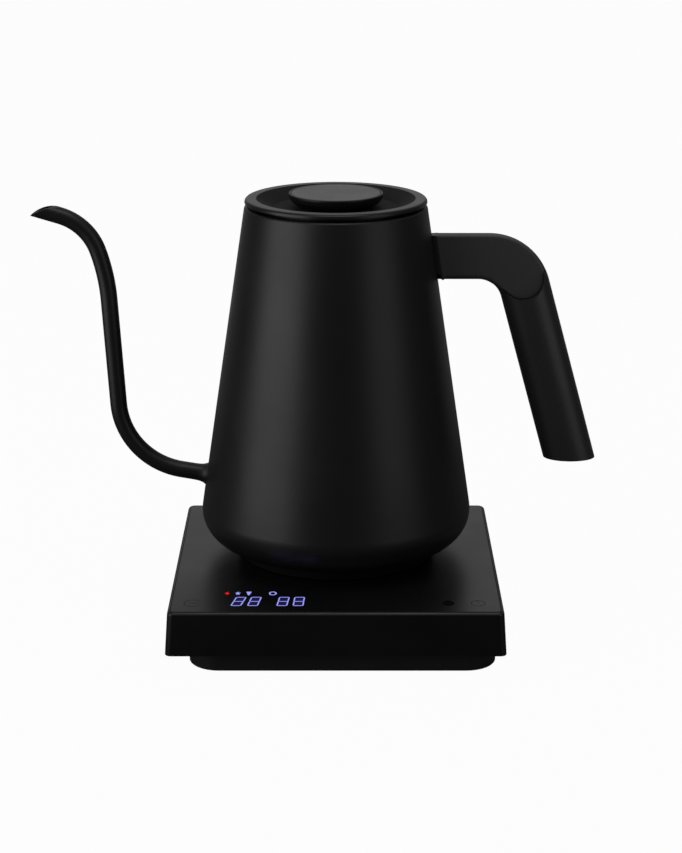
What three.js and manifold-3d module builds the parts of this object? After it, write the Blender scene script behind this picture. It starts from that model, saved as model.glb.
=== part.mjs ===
// Gooseneck electric kettle on a square powered base.
// Millimetres, +Z up. The Z axis is the axis the kettle turns about on its base, Z = 0 is the
// flat underside of the base tray, +X points at the handle and -Y at the display.
import * as THREE from 'three';
import { mergeVertices } from 'three/addons/utils/BufferGeometryUtils.js';
import Module from 'manifold-3d';

const wasm = await Module();
wasm.setup();

// ---- Fits ----
const fitGap = 0.3;
const looseGap = 0.7;
const screwHoleGap = 0.3;
const overcut = 1;

// ---- Powered base ----
const baseSize = 160;
const baseHeight = 32;
const baseCornerRadius = 3;
const baseSetBack = 12;
const housingHeight = 21.7;
const housingDraft = 1.4;
const housingWall = 2.2;
const deckThickness = 2;
const plateThickness = 1.5;
const plateRim = 1.4;
const coverInset = 4;
const coverDrop = 0.8;
const coverThickness = 2.5;
const trayLeftInset = 10.4;
const trayFrontInset = 5;
const trayCornerRadius = 15;
const trayWall = 2;
const trayFloor = 2;
const footRadius = 6;
const footInset = 14;
const footProud = 0.8;
const footSunk = 1;
const trayScrewShank = 1.5;
const trayScrewHead = 3.2;
const trayScrewHeadHeight = 1.3;
const trayScrewLength = 14;
const trayScrewInset = 11;
const trayScrewSpanY = 80;
const bossWall = 2.2;
const bossSunk = 0.5;

// ---- Electrics in the base ----
const boardThickness = 1.6;
const powerBoardWidth = 100;
const powerBoardDepth = 80;
const powerBoardLift = 5;
const powerBoardPost = 3;
const powerBoardBack = 4;
const controlBoardWidth = 148;
const controlBoardDepth = 30;
const controlBoardDrop = 4;
const controlBoardFromWall = 1;
const displayWidth = 46;
const displayDepth = 25;
const displayX = -30;
const displayFromWall = 1.8;
const touchKeyX = [-68.5, 54, 68.2];
const touchKeyFromFront = 11.5;
const touchSpringRadius = 3;
const touchHoleRadius = 4;
const buzzerRadius = 6;
const buzzerHeight = 3;
const buzzerX = 20;
const relaySize = [20, 16, 15];
const relayPlace = [-38, 27];
const transformerSize = [26, 22, 17];
const transformerPlace = [34, -27];
const heatSinkSize = [30, 8, 14];
const heatSinkPlace = [32, 33];
const terminalSize = [18, 10, 6];
const terminalPlace = [-6, 32];
const capacitorRadius = 6.3;
const capacitorHeight = 16;
const capacitorPlace = [-38, -27];
const fuseRadius = 2.6;
const fuseLength = 20;
const fusePlace = [-12, -28];
const glandX = 40;
const glandBore = 3.2;
const glandBarrel = 5.5;
const glandFlange = 7;
const glandFlangeThickness = 2;
const glandEndProud = 1;
const clampSize = [14, 7];
const clampFromGland = 12;
const clampBelowCord = 6;

// ---- Connector between base and kettle ----
const bossRadius = 17;
const bossRise = 10;
const connectorFlange = 24;
const connectorFlangeThickness = 3;
const connectorDepth = 15;
const pinRadius = 2.2;
const ringContactRadius = 9.5;
const ringContactWall = 0.8;
const contactRoom = 1.2;
const contactReach = 6.5;
const contactRootDepth = 3;
const socketWall = 2;
const socketRoof = 3;
const socketFlange = 4;
const socketFlangeThickness = 1.5;
const socketDrop = 1;
const socketNeckRadius = 11.5;
const socketNeckProud = 1;
const socketSlotRoof = 1;
const pinTailProud = 1;

// ---- Kettle body ----
const bodyClearance = 6.2;
const bodyHeight = 171.6;
const bodyFootRadius = 70.6;
const bodyRimRadius = 44.9;
const bodyFootRound = 16.5;
const bodyWall = 1;
const bodyUnderOpening = 50;
const mouthRadius = 41.3;
const neckDepth = 8;
const floorLift = 22;
const floorThickness = 1.2;
const spreaderRadius = 44;
const spreaderThickness = 3;
const elementRingRadius = 38;
const elementRadius = 3.4;
const elementSweep = 315;
const elementSides = 7;
const cutoutRadius = 9;
const cutoutHeight = 5.5;
const sensorX = -24;
const sensorRadius = 3;
const sensorProud = 3.5;
const sensorLength = 15;
const sealWall = 2;
const bracketLift = 9;
const bracketThickness = 1.2;
const bracketRadius = 48;
const bracketLegWidth = 9;
const bracketLegThickness = 2;
const bracketLegInset = 0.5;
const underCoverThickness = 2;
const underCoverLift = 2.5;
const underCoverRingWidth = 5.7;
const underCoverInsert = 4;
const underScrewCircle = 36;
const underScrewShank = 1.5;
const underScrewHead = 2.9;
const underScrewHeadHeight = 1.6;
const underScrewPast = 0.9;

// ---- Spout, a tube of straights and bends that starts inside the body wall ----
const spoutRadius = 4.2;
const spoutWall = 0.8;
const spoutRootX = -61;
const spoutRootHeight = 39.1;
const spoutRootSlope = 9.6;
const spoutRootLength = 17.5;
const spoutLowBendRadius = 37.4;
const spoutRiseAngle = 86.6;
const spoutRiseLength = 53.6;
const spoutMidBendRadius = 95.4;
const spoutMidAngle = 71.3;
const spoutTopBendRadius = 27.4;
const spoutTipAngle = 16.7;
const spoutTipLength = 20;
const spoutLipHeight = 172.4;
const spoutLipReach = 150.4;
const spoutCutAngle = 21.5;

// ---- Handle ----
const armTopHeight = 163.3;
const armDepth = 22.3;
const handleWidth = 8;
const handleEdge = 1;
const mountThickness = 2;
const handleBendRadius = 31;
const handleInnerRadius = 12;
const gripLean = 15.5;
const gripBreadth = 25.1;
const gripWidth = 19;
const gripReach = 99.2;
const gripEndHeight = 49;
const cheekRadius = 10;
const cheekAboveArm = 0.5;
const cheekOuterAngle = 27;
const cheekInnerAngle = -121;
const cheekFilletAngle = 59;
const tangRadius = 3.6;
const tangLength = 42;
const endCapLength = 4;
const tongueHeight = 9;
const tongueWidth = 4.6;
const tongueLength = 32;
const handleScrewShank = 1.3;
const handleScrewHead = 2.4;
const handleScrewHeadHeight = 2;
const handleScrewSunk = 1;
const handleScrewPast = 1;
const handleScrewFromSeam = [9, 23];

// ---- Lid ----
const lidRingRadius = 44.8;
const lidRingGap = 1.5;
const lidRingThickness = 2.2;
const lidRingEdge = 1.2;
const dishRimRadius = 39;
const dishFloorRadius = 30;
const dishDepth = 4.5;
const lidWall = 1.6;
const lidSkirtDepth = 6;
const linerDepth = 12;
const linerWall = 1.4;
const linerFlange = 1;
const gasketHeight = 3;
const gasketDepth = 2;
const knobFootRadius = 14;
const knobBellyRadius = 20.5;
const knobBellyRise = 1.6;
const knobTopRadius = 23.1;
const knobRise = 2.6;
const knobDiscThickness = 0.9;
const knobDiscInset = 1.2;
const knobEdge = 1;
const lidScrewShank = 2;
const lidScrewHead = 4;
const lidScrewHeadHeight = 2;
const lidScrewBite = 4;
const ventRadius = 1.2;
const ventSpacing = 5;
const ventFromAxis = 18;

// ---- Levels and places that follow from the sizes above ----
const plateTop = baseHeight;
const housingBottom = baseHeight - housingHeight;
const deckTop = plateTop - plateThickness - fitGap;
const deckBottom = deckTop - deckThickness;
const baseFront = -baseSetBack - baseSize / 2;
const halfBottom = baseSize / 2 + housingDraft;
const coverHalf = halfBottom - coverInset;
const trayLeft = -halfBottom + trayLeftInset;
const trayCentreX = (trayLeft + coverHalf) / 2;
const trayWidth = coverHalf - trayLeft;
const trayDepth = baseSize - 2 * trayFrontInset;
const bodyUnder = plateTop + bodyClearance;
const bodyRim = bodyUnder + bodyHeight;
const bodySlope = (bodyFootRadius - bodyRimRadius) / bodyHeight;
const floorUnder = bodyUnder + floorLift;
const spreaderTop = floorUnder - fitGap;
const spreaderBottom = spreaderTop - spreaderThickness;
const bracketBottom = bodyUnder + bracketLift;
const bracketTop = bracketBottom + bracketThickness;
const armTop = plateTop + armTopHeight;
const armBottom = armTop - armDepth;
const armMiddle = (armTop + armBottom) / 2;

const radians = THREE.MathUtils.degToRad;

// ---- Solids ----
const fullTurn = 48;
const innerTurn = 28;
const smallTurn = 14;
const boreTurn = 8;
const arcSteps = 6;
const spoutSteps = 32;
const outlineSteps = 6;
const cornerSteps = 3;
const sumpCornerSteps = 6;

function toSolid(geometry) {
  const bare = geometry.clone();
  bare.deleteAttribute('normal');
  bare.deleteAttribute('uv');
  const merged = mergeVertices(bare, 1e-4);
  const corners = merged.index.array;
  const kept = [];
  for (let i = 0; i < corners.length; i += 3) {
    const [a, b, c] = [corners[i], corners[i + 1], corners[i + 2]];
    if (a !== b && b !== c && c !== a) kept.push(a, b, c);
  }
  return new wasm.Manifold(new wasm.Mesh({
    numProp: 3,
    vertProperties: Float32Array.from(merged.attributes.position.array),
    triVerts: Uint32Array.from(kept),
  }));
}

function toGeometry(solid) {
  const result = solid.getMesh();
  const geometry = new THREE.BufferGeometry();
  geometry.setAttribute('position', new THREE.BufferAttribute(result.vertProperties, 3));
  geometry.setIndex(new THREE.BufferAttribute(result.triVerts, 1));
  geometry.computeVertexNormals();
  return geometry;
}

const join = (...solids) => solids.reduce((whole, piece) => whole.add(piece));
const cut = (whole, ...tools) => tools.reduce((rest, tool) => rest.subtract(tool), whole);

// A box between two heights, centred on x, y.
function block(width, depth, bottom, top, x = 0, y = 0) {
  const geometry = new THREE.BoxGeometry(width, depth, top - bottom);
  geometry.translate(x, y, (top + bottom) / 2);
  return toSolid(geometry);
}

// An upright cylinder between two heights.
function column(radius, bottom, top, x = 0, y = 0, sides = smallTurn) {
  const geometry = new THREE.CylinderGeometry(radius, radius, top - bottom, sides);
  geometry.rotateX(Math.PI / 2);
  geometry.translate(x, y, (top + bottom) / 2);
  return toSolid(geometry);
}

// A cylinder along Y.
function rod(radius, front, back, x, z, sides = smallTurn) {
  const geometry = new THREE.CylinderGeometry(radius, radius, back - front, sides);
  geometry.translate(x, (front + back) / 2, z);
  return toSolid(geometry);
}

// A solid of revolution about Z. The outline runs anticlockwise, radius to the right and Z up.
function revolve(outline, sides = fullTurn) {
  const points = outline.map(([radius, height]) => new THREE.Vector2(radius, height));
  const closesOnAxis = outline[0][0] === 0 && outline[outline.length - 1][0] === 0;
  if (!closesOnAxis) points.push(points[0].clone());
  const geometry = new THREE.LatheGeometry(points, sides);
  geometry.rotateX(Math.PI / 2);
  return toSolid(geometry);
}

// Points of an arc in the radius and height plane, angles in degrees.
function arc(centreRadius, centreHeight, radius, from, to, steps = arcSteps) {
  return Array.from({ length: steps + 1 }, (_, i) => {
    const angle = radians(from + (to - from) * i / steps);
    return [centreRadius + radius * Math.cos(angle), centreHeight + radius * Math.sin(angle)];
  });
}

function roundedRectangle(width, depth, radius) {
  const [x, y] = [width / 2, depth / 2];
  const shape = new THREE.Shape();
  shape.absarc(x - radius, y - radius, radius, 0, Math.PI / 2);
  shape.absarc(-x + radius, y - radius, radius, Math.PI / 2, Math.PI);
  shape.absarc(-x + radius, -y + radius, radius, Math.PI, Math.PI * 1.5);
  shape.absarc(x - radius, -y + radius, radius, Math.PI * 1.5, Math.PI * 2);
  shape.closePath();
  return shape;
}

// A flat plate with rounded corners between two heights.
function plate(width, depth, radius, bottom, top, x = 0, y = 0, steps = cornerSteps) {
  const geometry = new THREE.ExtrudeGeometry(roundedRectangle(width, depth, radius), {
    depth: top - bottom, bevelEnabled: false, curveSegments: steps,
  });
  geometry.translate(x, y, bottom);
  return toSolid(geometry);
}

// A plate whose sides lean out towards its lower face by the housing's draft.
function draftedPlate(width, depth, radius, bottom, top) {
  const geometry = new THREE.ExtrudeGeometry(roundedRectangle(width, depth, radius), {
    depth: top - bottom, bevelEnabled: false, curveSegments: cornerSteps,
  });
  geometry.translate(0, 0, bottom);
  const corners = geometry.attributes.position;
  for (let i = 0; i < corners.count; i++) {
    const lean = housingDraft * (plateTop - corners.getZ(i)) / housingHeight;
    corners.setX(i, corners.getX(i) * (1 + 2 * lean / baseSize));
    corners.setY(i, corners.getY(i) * (1 + 2 * lean / baseSize));
  }
  geometry.translate(0, -baseSetBack, 0);
  return toSolid(geometry);
}

// A slab cut to an outline in the XZ plane and centred on Y = 0.
function upright(outline, thickness, options = {}) {
  const edge = options.bevelEnabled ? options.bevelThickness : 0;
  const geometry = new THREE.ExtrudeGeometry(outline, {
    depth: thickness - 2 * edge, bevelEnabled: false, curveSegments: outlineSteps, ...options,
  });
  geometry.rotateX(Math.PI / 2);
  geometry.translate(0, thickness / 2 - edge, 0);
  return toSolid(geometry);
}

// A screw with its head below its shank, standing upright.
function screw(shank, head, headHeight, bottom, length, x, y) {
  const headPart = column(head, bottom, bottom + headHeight, x, y, smallTurn);
  return join(headPart, column(shank, bottom + headHeight / 2, bottom + length, x, y, boreTurn));
}

// A curve in the XZ plane made of straights and bends, each an arc of constant radius.
class BentPath extends THREE.Curve {
  constructor(x, z, headingDegrees) {
    super();
    this.end = new THREE.Vector3(x, 0, z);
    this.heading = radians(headingDegrees);
    this.pieces = [];
    this.total = 0;
  }

  add(length, turn) {
    this.pieces.push({ start: this.total, length, turn, from: this.end.clone(), heading: this.heading });
    this.total += length;
    this.end = this.along(this.pieces[this.pieces.length - 1], length);
    this.heading += turn;
    return this;
  }

  straight(length) {
    return this.add(length, 0);
  }

  bend(radius, turnDegrees) {
    return this.add(radius * Math.abs(radians(turnDegrees)), radians(turnDegrees));
  }

  along(piece, distance) {
    const turned = piece.turn * distance / piece.length;
    const chord = turned === 0 ? distance : distance * Math.sin(turned / 2) / (turned / 2);
    const angle = piece.heading + turned / 2;
    return new THREE.Vector3(Math.cos(angle) * chord, 0, Math.sin(angle) * chord).add(piece.from);
  }

  getPoint(t) {
    const distance = t * this.total;
    const piece = this.pieces.findLast((candidate) => candidate.start <= distance);
    return this.along(piece, Math.min(distance - piece.start, piece.length));
  }
}

const kettle = new THREE.Group();

function addPart(name, solid, color, roughness, metalness) {
  const material = new THREE.MeshStandardMaterial({ color, roughness, metalness });
  const mesh = new THREE.Mesh(toGeometry(solid), material);
  mesh.name = name;
  kettle.add(mesh);
}

const blackMetal = [0x1a1a1b, 0.42, 0.3];
const blackPlastic = [0x1c1c1d, 0.5, 0];
const steel = [0xb8bac0, 0.35, 0.95];
const greenBoard = [0x1f5a35, 0.6, 0];
const brass = [0xc9a24a, 0.3, 0.9];

// ---- Body of the kettle: a spun cone with a rounded foot, a flat rim and a turned-down neck ----
const footRoundHeight = bodyUnder + bodyFootRound;
const slopeLength = Math.hypot(1, bodySlope);
const footRoundCentre = bodyFootRadius - bodySlope * bodyFootRound - bodyFootRound * slopeLength;
const slopeAngle = THREE.MathUtils.radToDeg(Math.atan(bodySlope));

function bodyRadiusAt(height) {
  return bodyFootRadius - bodySlope * (height - bodyUnder);
}

function innerRadiusAt(height) {
  return bodyRadiusAt(height) - bodyWall * slopeLength;
}

const rimUnder = bodyRim - bodyWall;
const neckBottom = bodyRim - neckDepth;
const vesselOutline = [
  [bodyUnderOpening, bodyUnder],
  ...arc(footRoundCentre, footRoundHeight, bodyFootRound, -90, slopeAngle),
  [bodyRimRadius, bodyRim],
  [mouthRadius, bodyRim],
  [mouthRadius, neckBottom],
  [mouthRadius + bodyWall, neckBottom],
  [mouthRadius + bodyWall, rimUnder],
  [innerRadiusAt(rimUnder), rimUnder],
  ...arc(footRoundCentre, footRoundHeight, bodyFootRound - bodyWall, slopeAngle, -90),
  [bodyUnderOpening, bodyUnder + bodyWall],
];

// ---- Spout: its path, its bore and its slanted lip ----
const spoutHeading = 180 - spoutRootSlope;
const spoutPath = new BentPath(spoutRootX, plateTop + spoutRootHeight, spoutHeading)
  .straight(spoutRootLength)
  .bend(spoutLowBendRadius, spoutRootSlope - spoutRiseAngle)
  .straight(spoutRiseLength)
  .bend(spoutMidBendRadius, spoutRiseAngle - spoutMidAngle)
  .bend(spoutTopBendRadius, spoutMidAngle - spoutTipAngle)
  .straight(spoutTipLength);

function alongSpout(radius, sides) {
  const section = new THREE.Shape();
  section.absarc(0, 0, radius, 0, Math.PI * 2);
  return toSolid(new THREE.ExtrudeGeometry(section, {
    steps: spoutSteps, curveSegments: sides, extrudePath: spoutPath, bevelEnabled: false,
  }));
}

function spoutLipCut() {
  const size = 60;
  const geometry = new THREE.BoxGeometry(size, size, size);
  geometry.translate(0, 0, size / 2);
  geometry.rotateY(-radians(spoutCutAngle));
  geometry.translate(-spoutLipReach, 0, plateTop + spoutLipHeight);
  return toSolid(geometry);
}

const spoutHole = alongSpout(spoutRadius + fitGap, outlineSteps);
addPart('vessel', cut(revolve(vesselOutline), spoutHole), ...blackMetal);
const spoutBore = alongSpout(spoutRadius - spoutWall, outlineSteps);
const spoutTube = cut(alongSpout(spoutRadius, outlineSteps), spoutBore);
addPart('spout', cut(spoutTube, spoutLipCut()), ...blackMetal);

// ---- Floor of the water chamber and what is fixed under it ----
const floorTop = floorUnder + floorThickness;
const sealRadius = sensorRadius + fitGap + sealWall;
const floorDisc = revolve([
  [0, floorUnder],
  [innerRadiusAt(floorUnder) - fitGap, floorUnder],
  [innerRadiusAt(floorTop) - fitGap, floorTop],
  [0, floorTop],
]);
const sealHole = column(sealRadius + fitGap, spreaderBottom - fitGap, floorTop + fitGap, sensorX, 0);
addPart('vessel_floor', cut(floorDisc, sealHole), ...steel);

const spreader = column(spreaderRadius, spreaderBottom, spreaderTop, 0, 0, fullTurn);
addPart('heat_spreader', cut(spreader, sealHole), 0xc9ccd1, 0.4, 0.9);

const elementHeight = spreaderBottom - fitGap - elementRadius;
addPart('heating_element', revolve(
  arc(elementRingRadius, elementHeight, elementRadius, 0, elementSweep, elementSides),
  innerTurn,
), 0x8d9095, 0.4, 0.9);

const cutoutTop = spreaderBottom - fitGap;
addPart('dry_boil_cutout', column(cutoutRadius, cutoutTop - cutoutHeight, cutoutTop), 0xe6e2d6, 0.5, 0);

const sensorTop = floorTop + sensorProud;
addPart('temperature_sensor', revolve([
  [0, sensorTop - sensorLength],
  [sensorRadius, sensorTop - sensorLength],
  ...arc(0, sensorTop - sensorRadius, sensorRadius, 0, 90, 3).slice(0, -1),
  [0, sensorTop],
], smallTurn).translate([sensorX, 0, 0]), ...steel);
const seal = column(sealRadius, spreaderBottom, floorTop, sensorX, 0);
const sensorHole = column(sensorRadius + fitGap, spreaderBottom - overcut, floorTop + overcut, sensorX, 0);
addPart('sensor_seal', cut(seal, sensorHole), 0xd8d5cc, 0.7, 0);

// ---- Bracket that carries the connector, hung from the floor by three legs ----
const neckHole = socketNeckRadius + fitGap;
const underScrewAngles = [60, 180, 300];
const legAngles = [0, 120, 240];

function onCircle(radius, degrees) {
  return [radius * Math.cos(radians(degrees)), radius * Math.sin(radians(degrees))];
}

let bracket = revolve([
  [neckHole, bracketBottom],
  [bracketRadius, bracketBottom],
  [bracketRadius, bracketTop],
  [neckHole, bracketTop],
], innerTurn);
const legMiddle = bracketRadius - bracketLegThickness / 2 - bracketLegInset;
for (const degrees of legAngles) {
  const leg = block(bracketLegThickness, bracketLegWidth, bracketBottom, floorUnder - fitGap, legMiddle);
  bracket = join(bracket, leg.rotate([0, 0, degrees]));
}
for (const degrees of underScrewAngles) {
  const [x, y] = onCircle(underScrewCircle, degrees);
  const hole = column(
    underScrewShank + screwHoleGap, bracketBottom - overcut, bracketTop + overcut, x, y, boreTurn,
  );
  bracket = cut(bracket, hole);
}
addPart('coupler_bracket', bracket, ...steel);

// ---- Under cover: its ring is the foot that the kettle stands on ----
const socketRadius = bossRadius + fitGap + looseGap;
const socketOuter = socketRadius + socketWall;
const socketHole = socketOuter + fitGap;
const ringBottom = plateTop + fitGap;
const ringOuter = bodyUnderOpening - fitGap;
const ringInner = ringOuter - underCoverRingWidth;
const webBottom = plateTop + underCoverLift;
const webTop = webBottom + underCoverThickness;
const ringTop = bodyUnder + underCoverInsert;
let underCover = revolve([
  [socketHole, webBottom],
  [ringInner, webBottom],
  [ringInner, ringBottom],
  [ringOuter, ringBottom],
  [ringOuter, ringTop],
  [ringOuter - underCoverThickness, ringTop],
  [ringOuter - underCoverThickness, webTop],
  [socketHole, webTop],
], innerTurn);
const headRoof = webBottom + underScrewHeadHeight + fitGap;
underScrewAngles.forEach((degrees, i) => {
  const [x, y] = onCircle(underScrewCircle, degrees);
  const post = column(underScrewHead + bossWall, webBottom, bracketBottom - fitGap, x, y);
  const bore = column(underScrewShank + screwHoleGap, webBottom - overcut, bracketBottom, x, y, boreTurn);
  const headRoom = column(underScrewHead + screwHoleGap, webBottom - overcut, headRoof, x, y, smallTurn);
  underCover = cut(join(underCover, post), bore, headRoom);
  const length = bracketTop + underScrewPast - webBottom;
  addPart(
    `under_cover_screw_${i + 1}`,
    screw(underScrewShank, underScrewHead, underScrewHeadHeight, webBottom, length, x, y),
    ...steel,
  );
});
addPart('under_cover', underCover, ...blackPlastic);

// ---- Kettle half of the connector: a round socket with a centre pin and a ring contact ----
const bossTop = plateTop + bossRise;
const socketMouth = webBottom - socketDrop;
const roofUnder = bossTop + looseGap;
const roofTop = roofUnder + socketRoof;
const flangeUnder = bracketBottom - fitGap - socketFlangeThickness;
const neckTop = bracketTop + socketNeckProud;
const slotRoof = roofTop - socketSlotRoof;
const pinHole = pinRadius + fitGap;
const ringInside = ringContactRadius - ringContactWall / 2;
const ringOutside = ringContactRadius + ringContactWall / 2;
const socket = revolve([
  [pinHole, roofUnder],
  [socketRadius, roofUnder],
  [socketRadius, socketMouth],
  [socketOuter, socketMouth],
  [socketOuter, flangeUnder],
  [socketOuter + socketFlange, flangeUnder],
  [socketOuter + socketFlange, bracketBottom - fitGap],
  [socketNeckRadius, bracketBottom - fitGap],
  [socketNeckRadius, neckTop],
  [pinHole, neckTop],
], innerTurn);
const ringSlot = revolve([
  [ringInside - fitGap, roofUnder - overcut],
  [ringOutside + fitGap, roofUnder - overcut],
  [ringOutside + fitGap, slotRoof],
  [ringInside - fitGap, slotRoof],
], innerTurn);
addPart('kettle_coupler', cut(socket, ringSlot), 0x26262a, 0.5, 0);
addPart('coupler_pin', column(pinRadius, bossTop - contactReach, neckTop + pinTailProud), ...brass);
addPart('coupler_ring', revolve([
  [ringInside, bossTop - contactReach],
  [ringOutside, bossTop - contactReach],
  [ringOutside, slotRoof - fitGap],
  [ringInside, slotRoof - fitGap],
], innerTurn), ...brass);

// ---- Handle: mount pad, tongue, arm with flat cheeks, oval grip and end cap ----
const leanTangent = Math.tan(radians(gripLean));
const leanCosine = Math.cos(radians(gripLean));
const outerCornerX = gripReach;
const innerCornerX = gripReach + armDepth * leanTangent - gripBreadth / leanCosine;
const quarter = radians((90 - gripLean) / 2);
const outerTangent = handleBendRadius * Math.tan(quarter);
const innerTangent = handleInnerRadius * Math.tan(quarter);
const gripEnd = plateTop + gripEndHeight;
const cheekHeight = armBottom + cheekAboveArm;
const cheekX = gripReach + (armTop - cheekHeight) * leanTangent - gripBreadth / leanCosine / 2;
const seamOffset = fitGap + mountThickness;
const handleMargin = 5;

function seamX(height, offset) {
  return bodyRadiusAt(height) + offset * slopeLength;
}

// Side outline of the whole handle, from the body's side to the cut end of the grip.
function handleOutline() {
  const outline = new THREE.Shape();
  const lean = radians(gripLean);
  outline.moveTo(0, armBottom);
  outline.lineTo(0, armTop);
  outline.absarc(outerCornerX - outerTangent, armTop - handleBendRadius, handleBendRadius,
    Math.PI / 2, lean, true);
  outline.lineTo(outerCornerX + (armTop - gripEnd) * leanTangent, gripEnd);
  outline.lineTo(innerCornerX + (armBottom - gripEnd) * leanTangent, gripEnd);
  outline.absarc(innerCornerX - innerTangent, armBottom - handleInnerRadius, handleInnerRadius,
    lean, Math.PI / 2, false);
  outline.closePath();
  return outline;
}

// Side outline of the arm, which ends in a round cheek over the top of the grip.
function armOutline() {
  const outline = new THREE.Shape();
  outline.moveTo(0, armBottom);
  outline.lineTo(0, armTop);
  outline.absarc(outerCornerX - outerTangent, armTop - handleBendRadius, handleBendRadius,
    Math.PI / 2, radians(cheekOuterAngle), true);
  outline.absarc(cheekX, cheekHeight, cheekRadius, radians(gripLean), radians(cheekInnerAngle), true);
  outline.absarc(innerCornerX - innerTangent, armBottom - handleInnerRadius, handleInnerRadius,
    radians(cheekFilletAngle), Math.PI / 2, false);
  outline.closePath();
  return outline;
}

function bodySideCut(offset) {
  return revolve([
    [0, bodyUnder],
    [seamX(bodyUnder, offset), bodyUnder],
    [seamX(bodyRim + handleMargin, offset), bodyRim + handleMargin],
    [0, bodyRim + handleMargin],
  ], fullTurn * 2);
}

// The seam side of the arm is a plane parallel to the body's side.
function seamPlaneCut(offset) {
  const outline = new THREE.Shape();
  outline.moveTo(-handleMargin, armTop + handleMargin);
  outline.lineTo(seamX(armTop + handleMargin, offset), armTop + handleMargin);
  outline.lineTo(seamX(armBottom - handleMargin, offset), armBottom - handleMargin);
  outline.lineTo(-handleMargin, armBottom - handleMargin);
  outline.closePath();
  return upright(outline, handleWidth * 2);
}

// A round bar along the grip's axis, from a distance past the cheek's centre.
function alongGrip(radius, from, to, sides) {
  const geometry = new THREE.CylinderGeometry(radius, radius, to - from, sides);
  geometry.translate(0, -(from + to) / 2, 0);
  geometry.rotateX(Math.PI / 2);
  geometry.rotateY(-radians(gripLean));
  geometry.translate(cheekX, 0, cheekHeight);
  return toSolid(geometry);
}

const wholeHandle = upright(handleOutline(), gripWidth + 2 * handleMargin);
const armGeometryOptions = {
  bevelEnabled: true, bevelThickness: handleEdge, bevelSize: handleEdge, bevelOffset: -handleEdge,
  bevelSegments: 1,
};
const armSolid = upright(armOutline(), handleWidth, armGeometryOptions);
const armClearance = upright(armOutline(), gripWidth + 2 * handleMargin, {
  bevelEnabled: true, bevelThickness: 0, bevelSize: 0, bevelOffset: fitGap, bevelSegments: 1,
});
const tongueTop = armMiddle + tongueHeight / 2;
const tongueBottom = armMiddle - tongueHeight / 2;
const tongueStart = seamX(tongueBottom, seamOffset) + fitGap;
const tongueEnd = tongueStart + tongueLength;
const tongueMiddle = (tongueStart + tongueEnd) / 2;
const tongueRoomLength = 2 * tongueLength;
const tongueRoom = block(
  tongueRoomLength, tongueWidth + 2 * fitGap, tongueBottom - fitGap, tongueTop + fitGap,
  tongueEnd + fitGap - tongueRoomLength / 2,
);
const headBottom = armBottom + handleScrewSunk;
const headTop = headBottom + handleScrewHeadHeight;
let arm = join(cut(armSolid, seamPlaneCut(seamOffset)), alongGrip(tangRadius, 0, tangLength, smallTurn));
arm = cut(arm, tongueRoom);
let tongue = block(tongueLength, tongueWidth, tongueBottom, tongueTop, tongueMiddle);
handleScrewFromSeam.forEach((distance, i) => {
  const x = tongueStart + distance;
  arm = cut(
    arm,
    column(handleScrewHead + screwHoleGap, armBottom - overcut, headTop + fitGap, x),
    column(handleScrewShank + screwHoleGap, armBottom - overcut, armMiddle, x, 0, boreTurn),
  );
  const threadTop = armMiddle + 2 * handleScrewPast;
  const thread = column(handleScrewShank + screwHoleGap, tongueBottom - overcut, threadTop, x, 0, boreTurn);
  tongue = cut(tongue, thread);
  const length = armMiddle + handleScrewPast - headBottom;
  addPart(
    `handle_screw_${i + 1}`,
    screw(handleScrewShank, handleScrewHead, handleScrewHeadHeight, headBottom, length, x, 0),
    ...steel,
  );
});
addPart('handle_tongue', tongue, ...steel);
addPart('handle_arm', arm, ...blackPlastic);

// The mount pad fills the saddle between the round body and the flat seam of the arm.
const padSolid = upright(handleOutline(), handleWidth, armGeometryOptions);
const padSlab = padSolid.intersect(seamPlaneCut(seamOffset - fitGap));
addPart('handle_mount', cut(padSlab, bodySideCut(fitGap)), 0x232324, 0.45, 0.2);

const ovalSection = new THREE.Shape();
ovalSection.absellipse(0, 0, gripBreadth / 2, gripWidth / 2, 0, Math.PI * 2);
const gripLength = (armTop - gripEnd) / leanCosine + handleBendRadius;
const gripBar = new THREE.ExtrudeGeometry(ovalSection, {
  depth: gripLength, bevelEnabled: false, curveSegments: 2 * outlineSteps,
});
gripBar.translate(0, 0, -handleBendRadius);
gripBar.rotateX(Math.PI);
gripBar.rotateY(-radians(gripLean));
gripBar.translate(cheekX, 0, cheekHeight);
const gripBoreEnd = gripLength + handleBendRadius;
const gripBore = alongGrip(tangRadius + fitGap, -handleBendRadius, gripBoreEnd, smallTurn);
addPart('handle_grip', cut(
  toSolid(gripBar).intersect(wholeHandle),
  armClearance,
  gripBore,
), ...blackPlastic);

const capPlug = alongGrip(tangRadius, tangLength, gripBoreEnd, smallTurn);
const capRoom = block(baseSize, baseSize, gripEnd, gripEnd + endCapLength, gripReach);
addPart('handle_end_cap', capPlug.intersect(capRoom), 0x101011, 0.6, 0);

// ---- Lid: ring and dish, liner, gasket, knob and its disc ----
const ringUnder = bodyRim + lidRingGap;
const dishRim = ringUnder + lidRingThickness;
const dishFloor = dishRim - dishDepth;
const dishUnder = dishFloor - lidWall;
const skirtRadius = mouthRadius - looseGap;
const skirtInner = skirtRadius - lidWall;
const skirtBottom = bodyRim - lidSkirtDepth;
const lidScrewHole = lidScrewShank + screwHoleGap;

function vents(bottom, top) {
  const places = [-ventSpacing, 0, ventSpacing];
  return places.map((x) => column(ventRadius, bottom, top, x, ventFromAxis, boreTurn));
}

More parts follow.
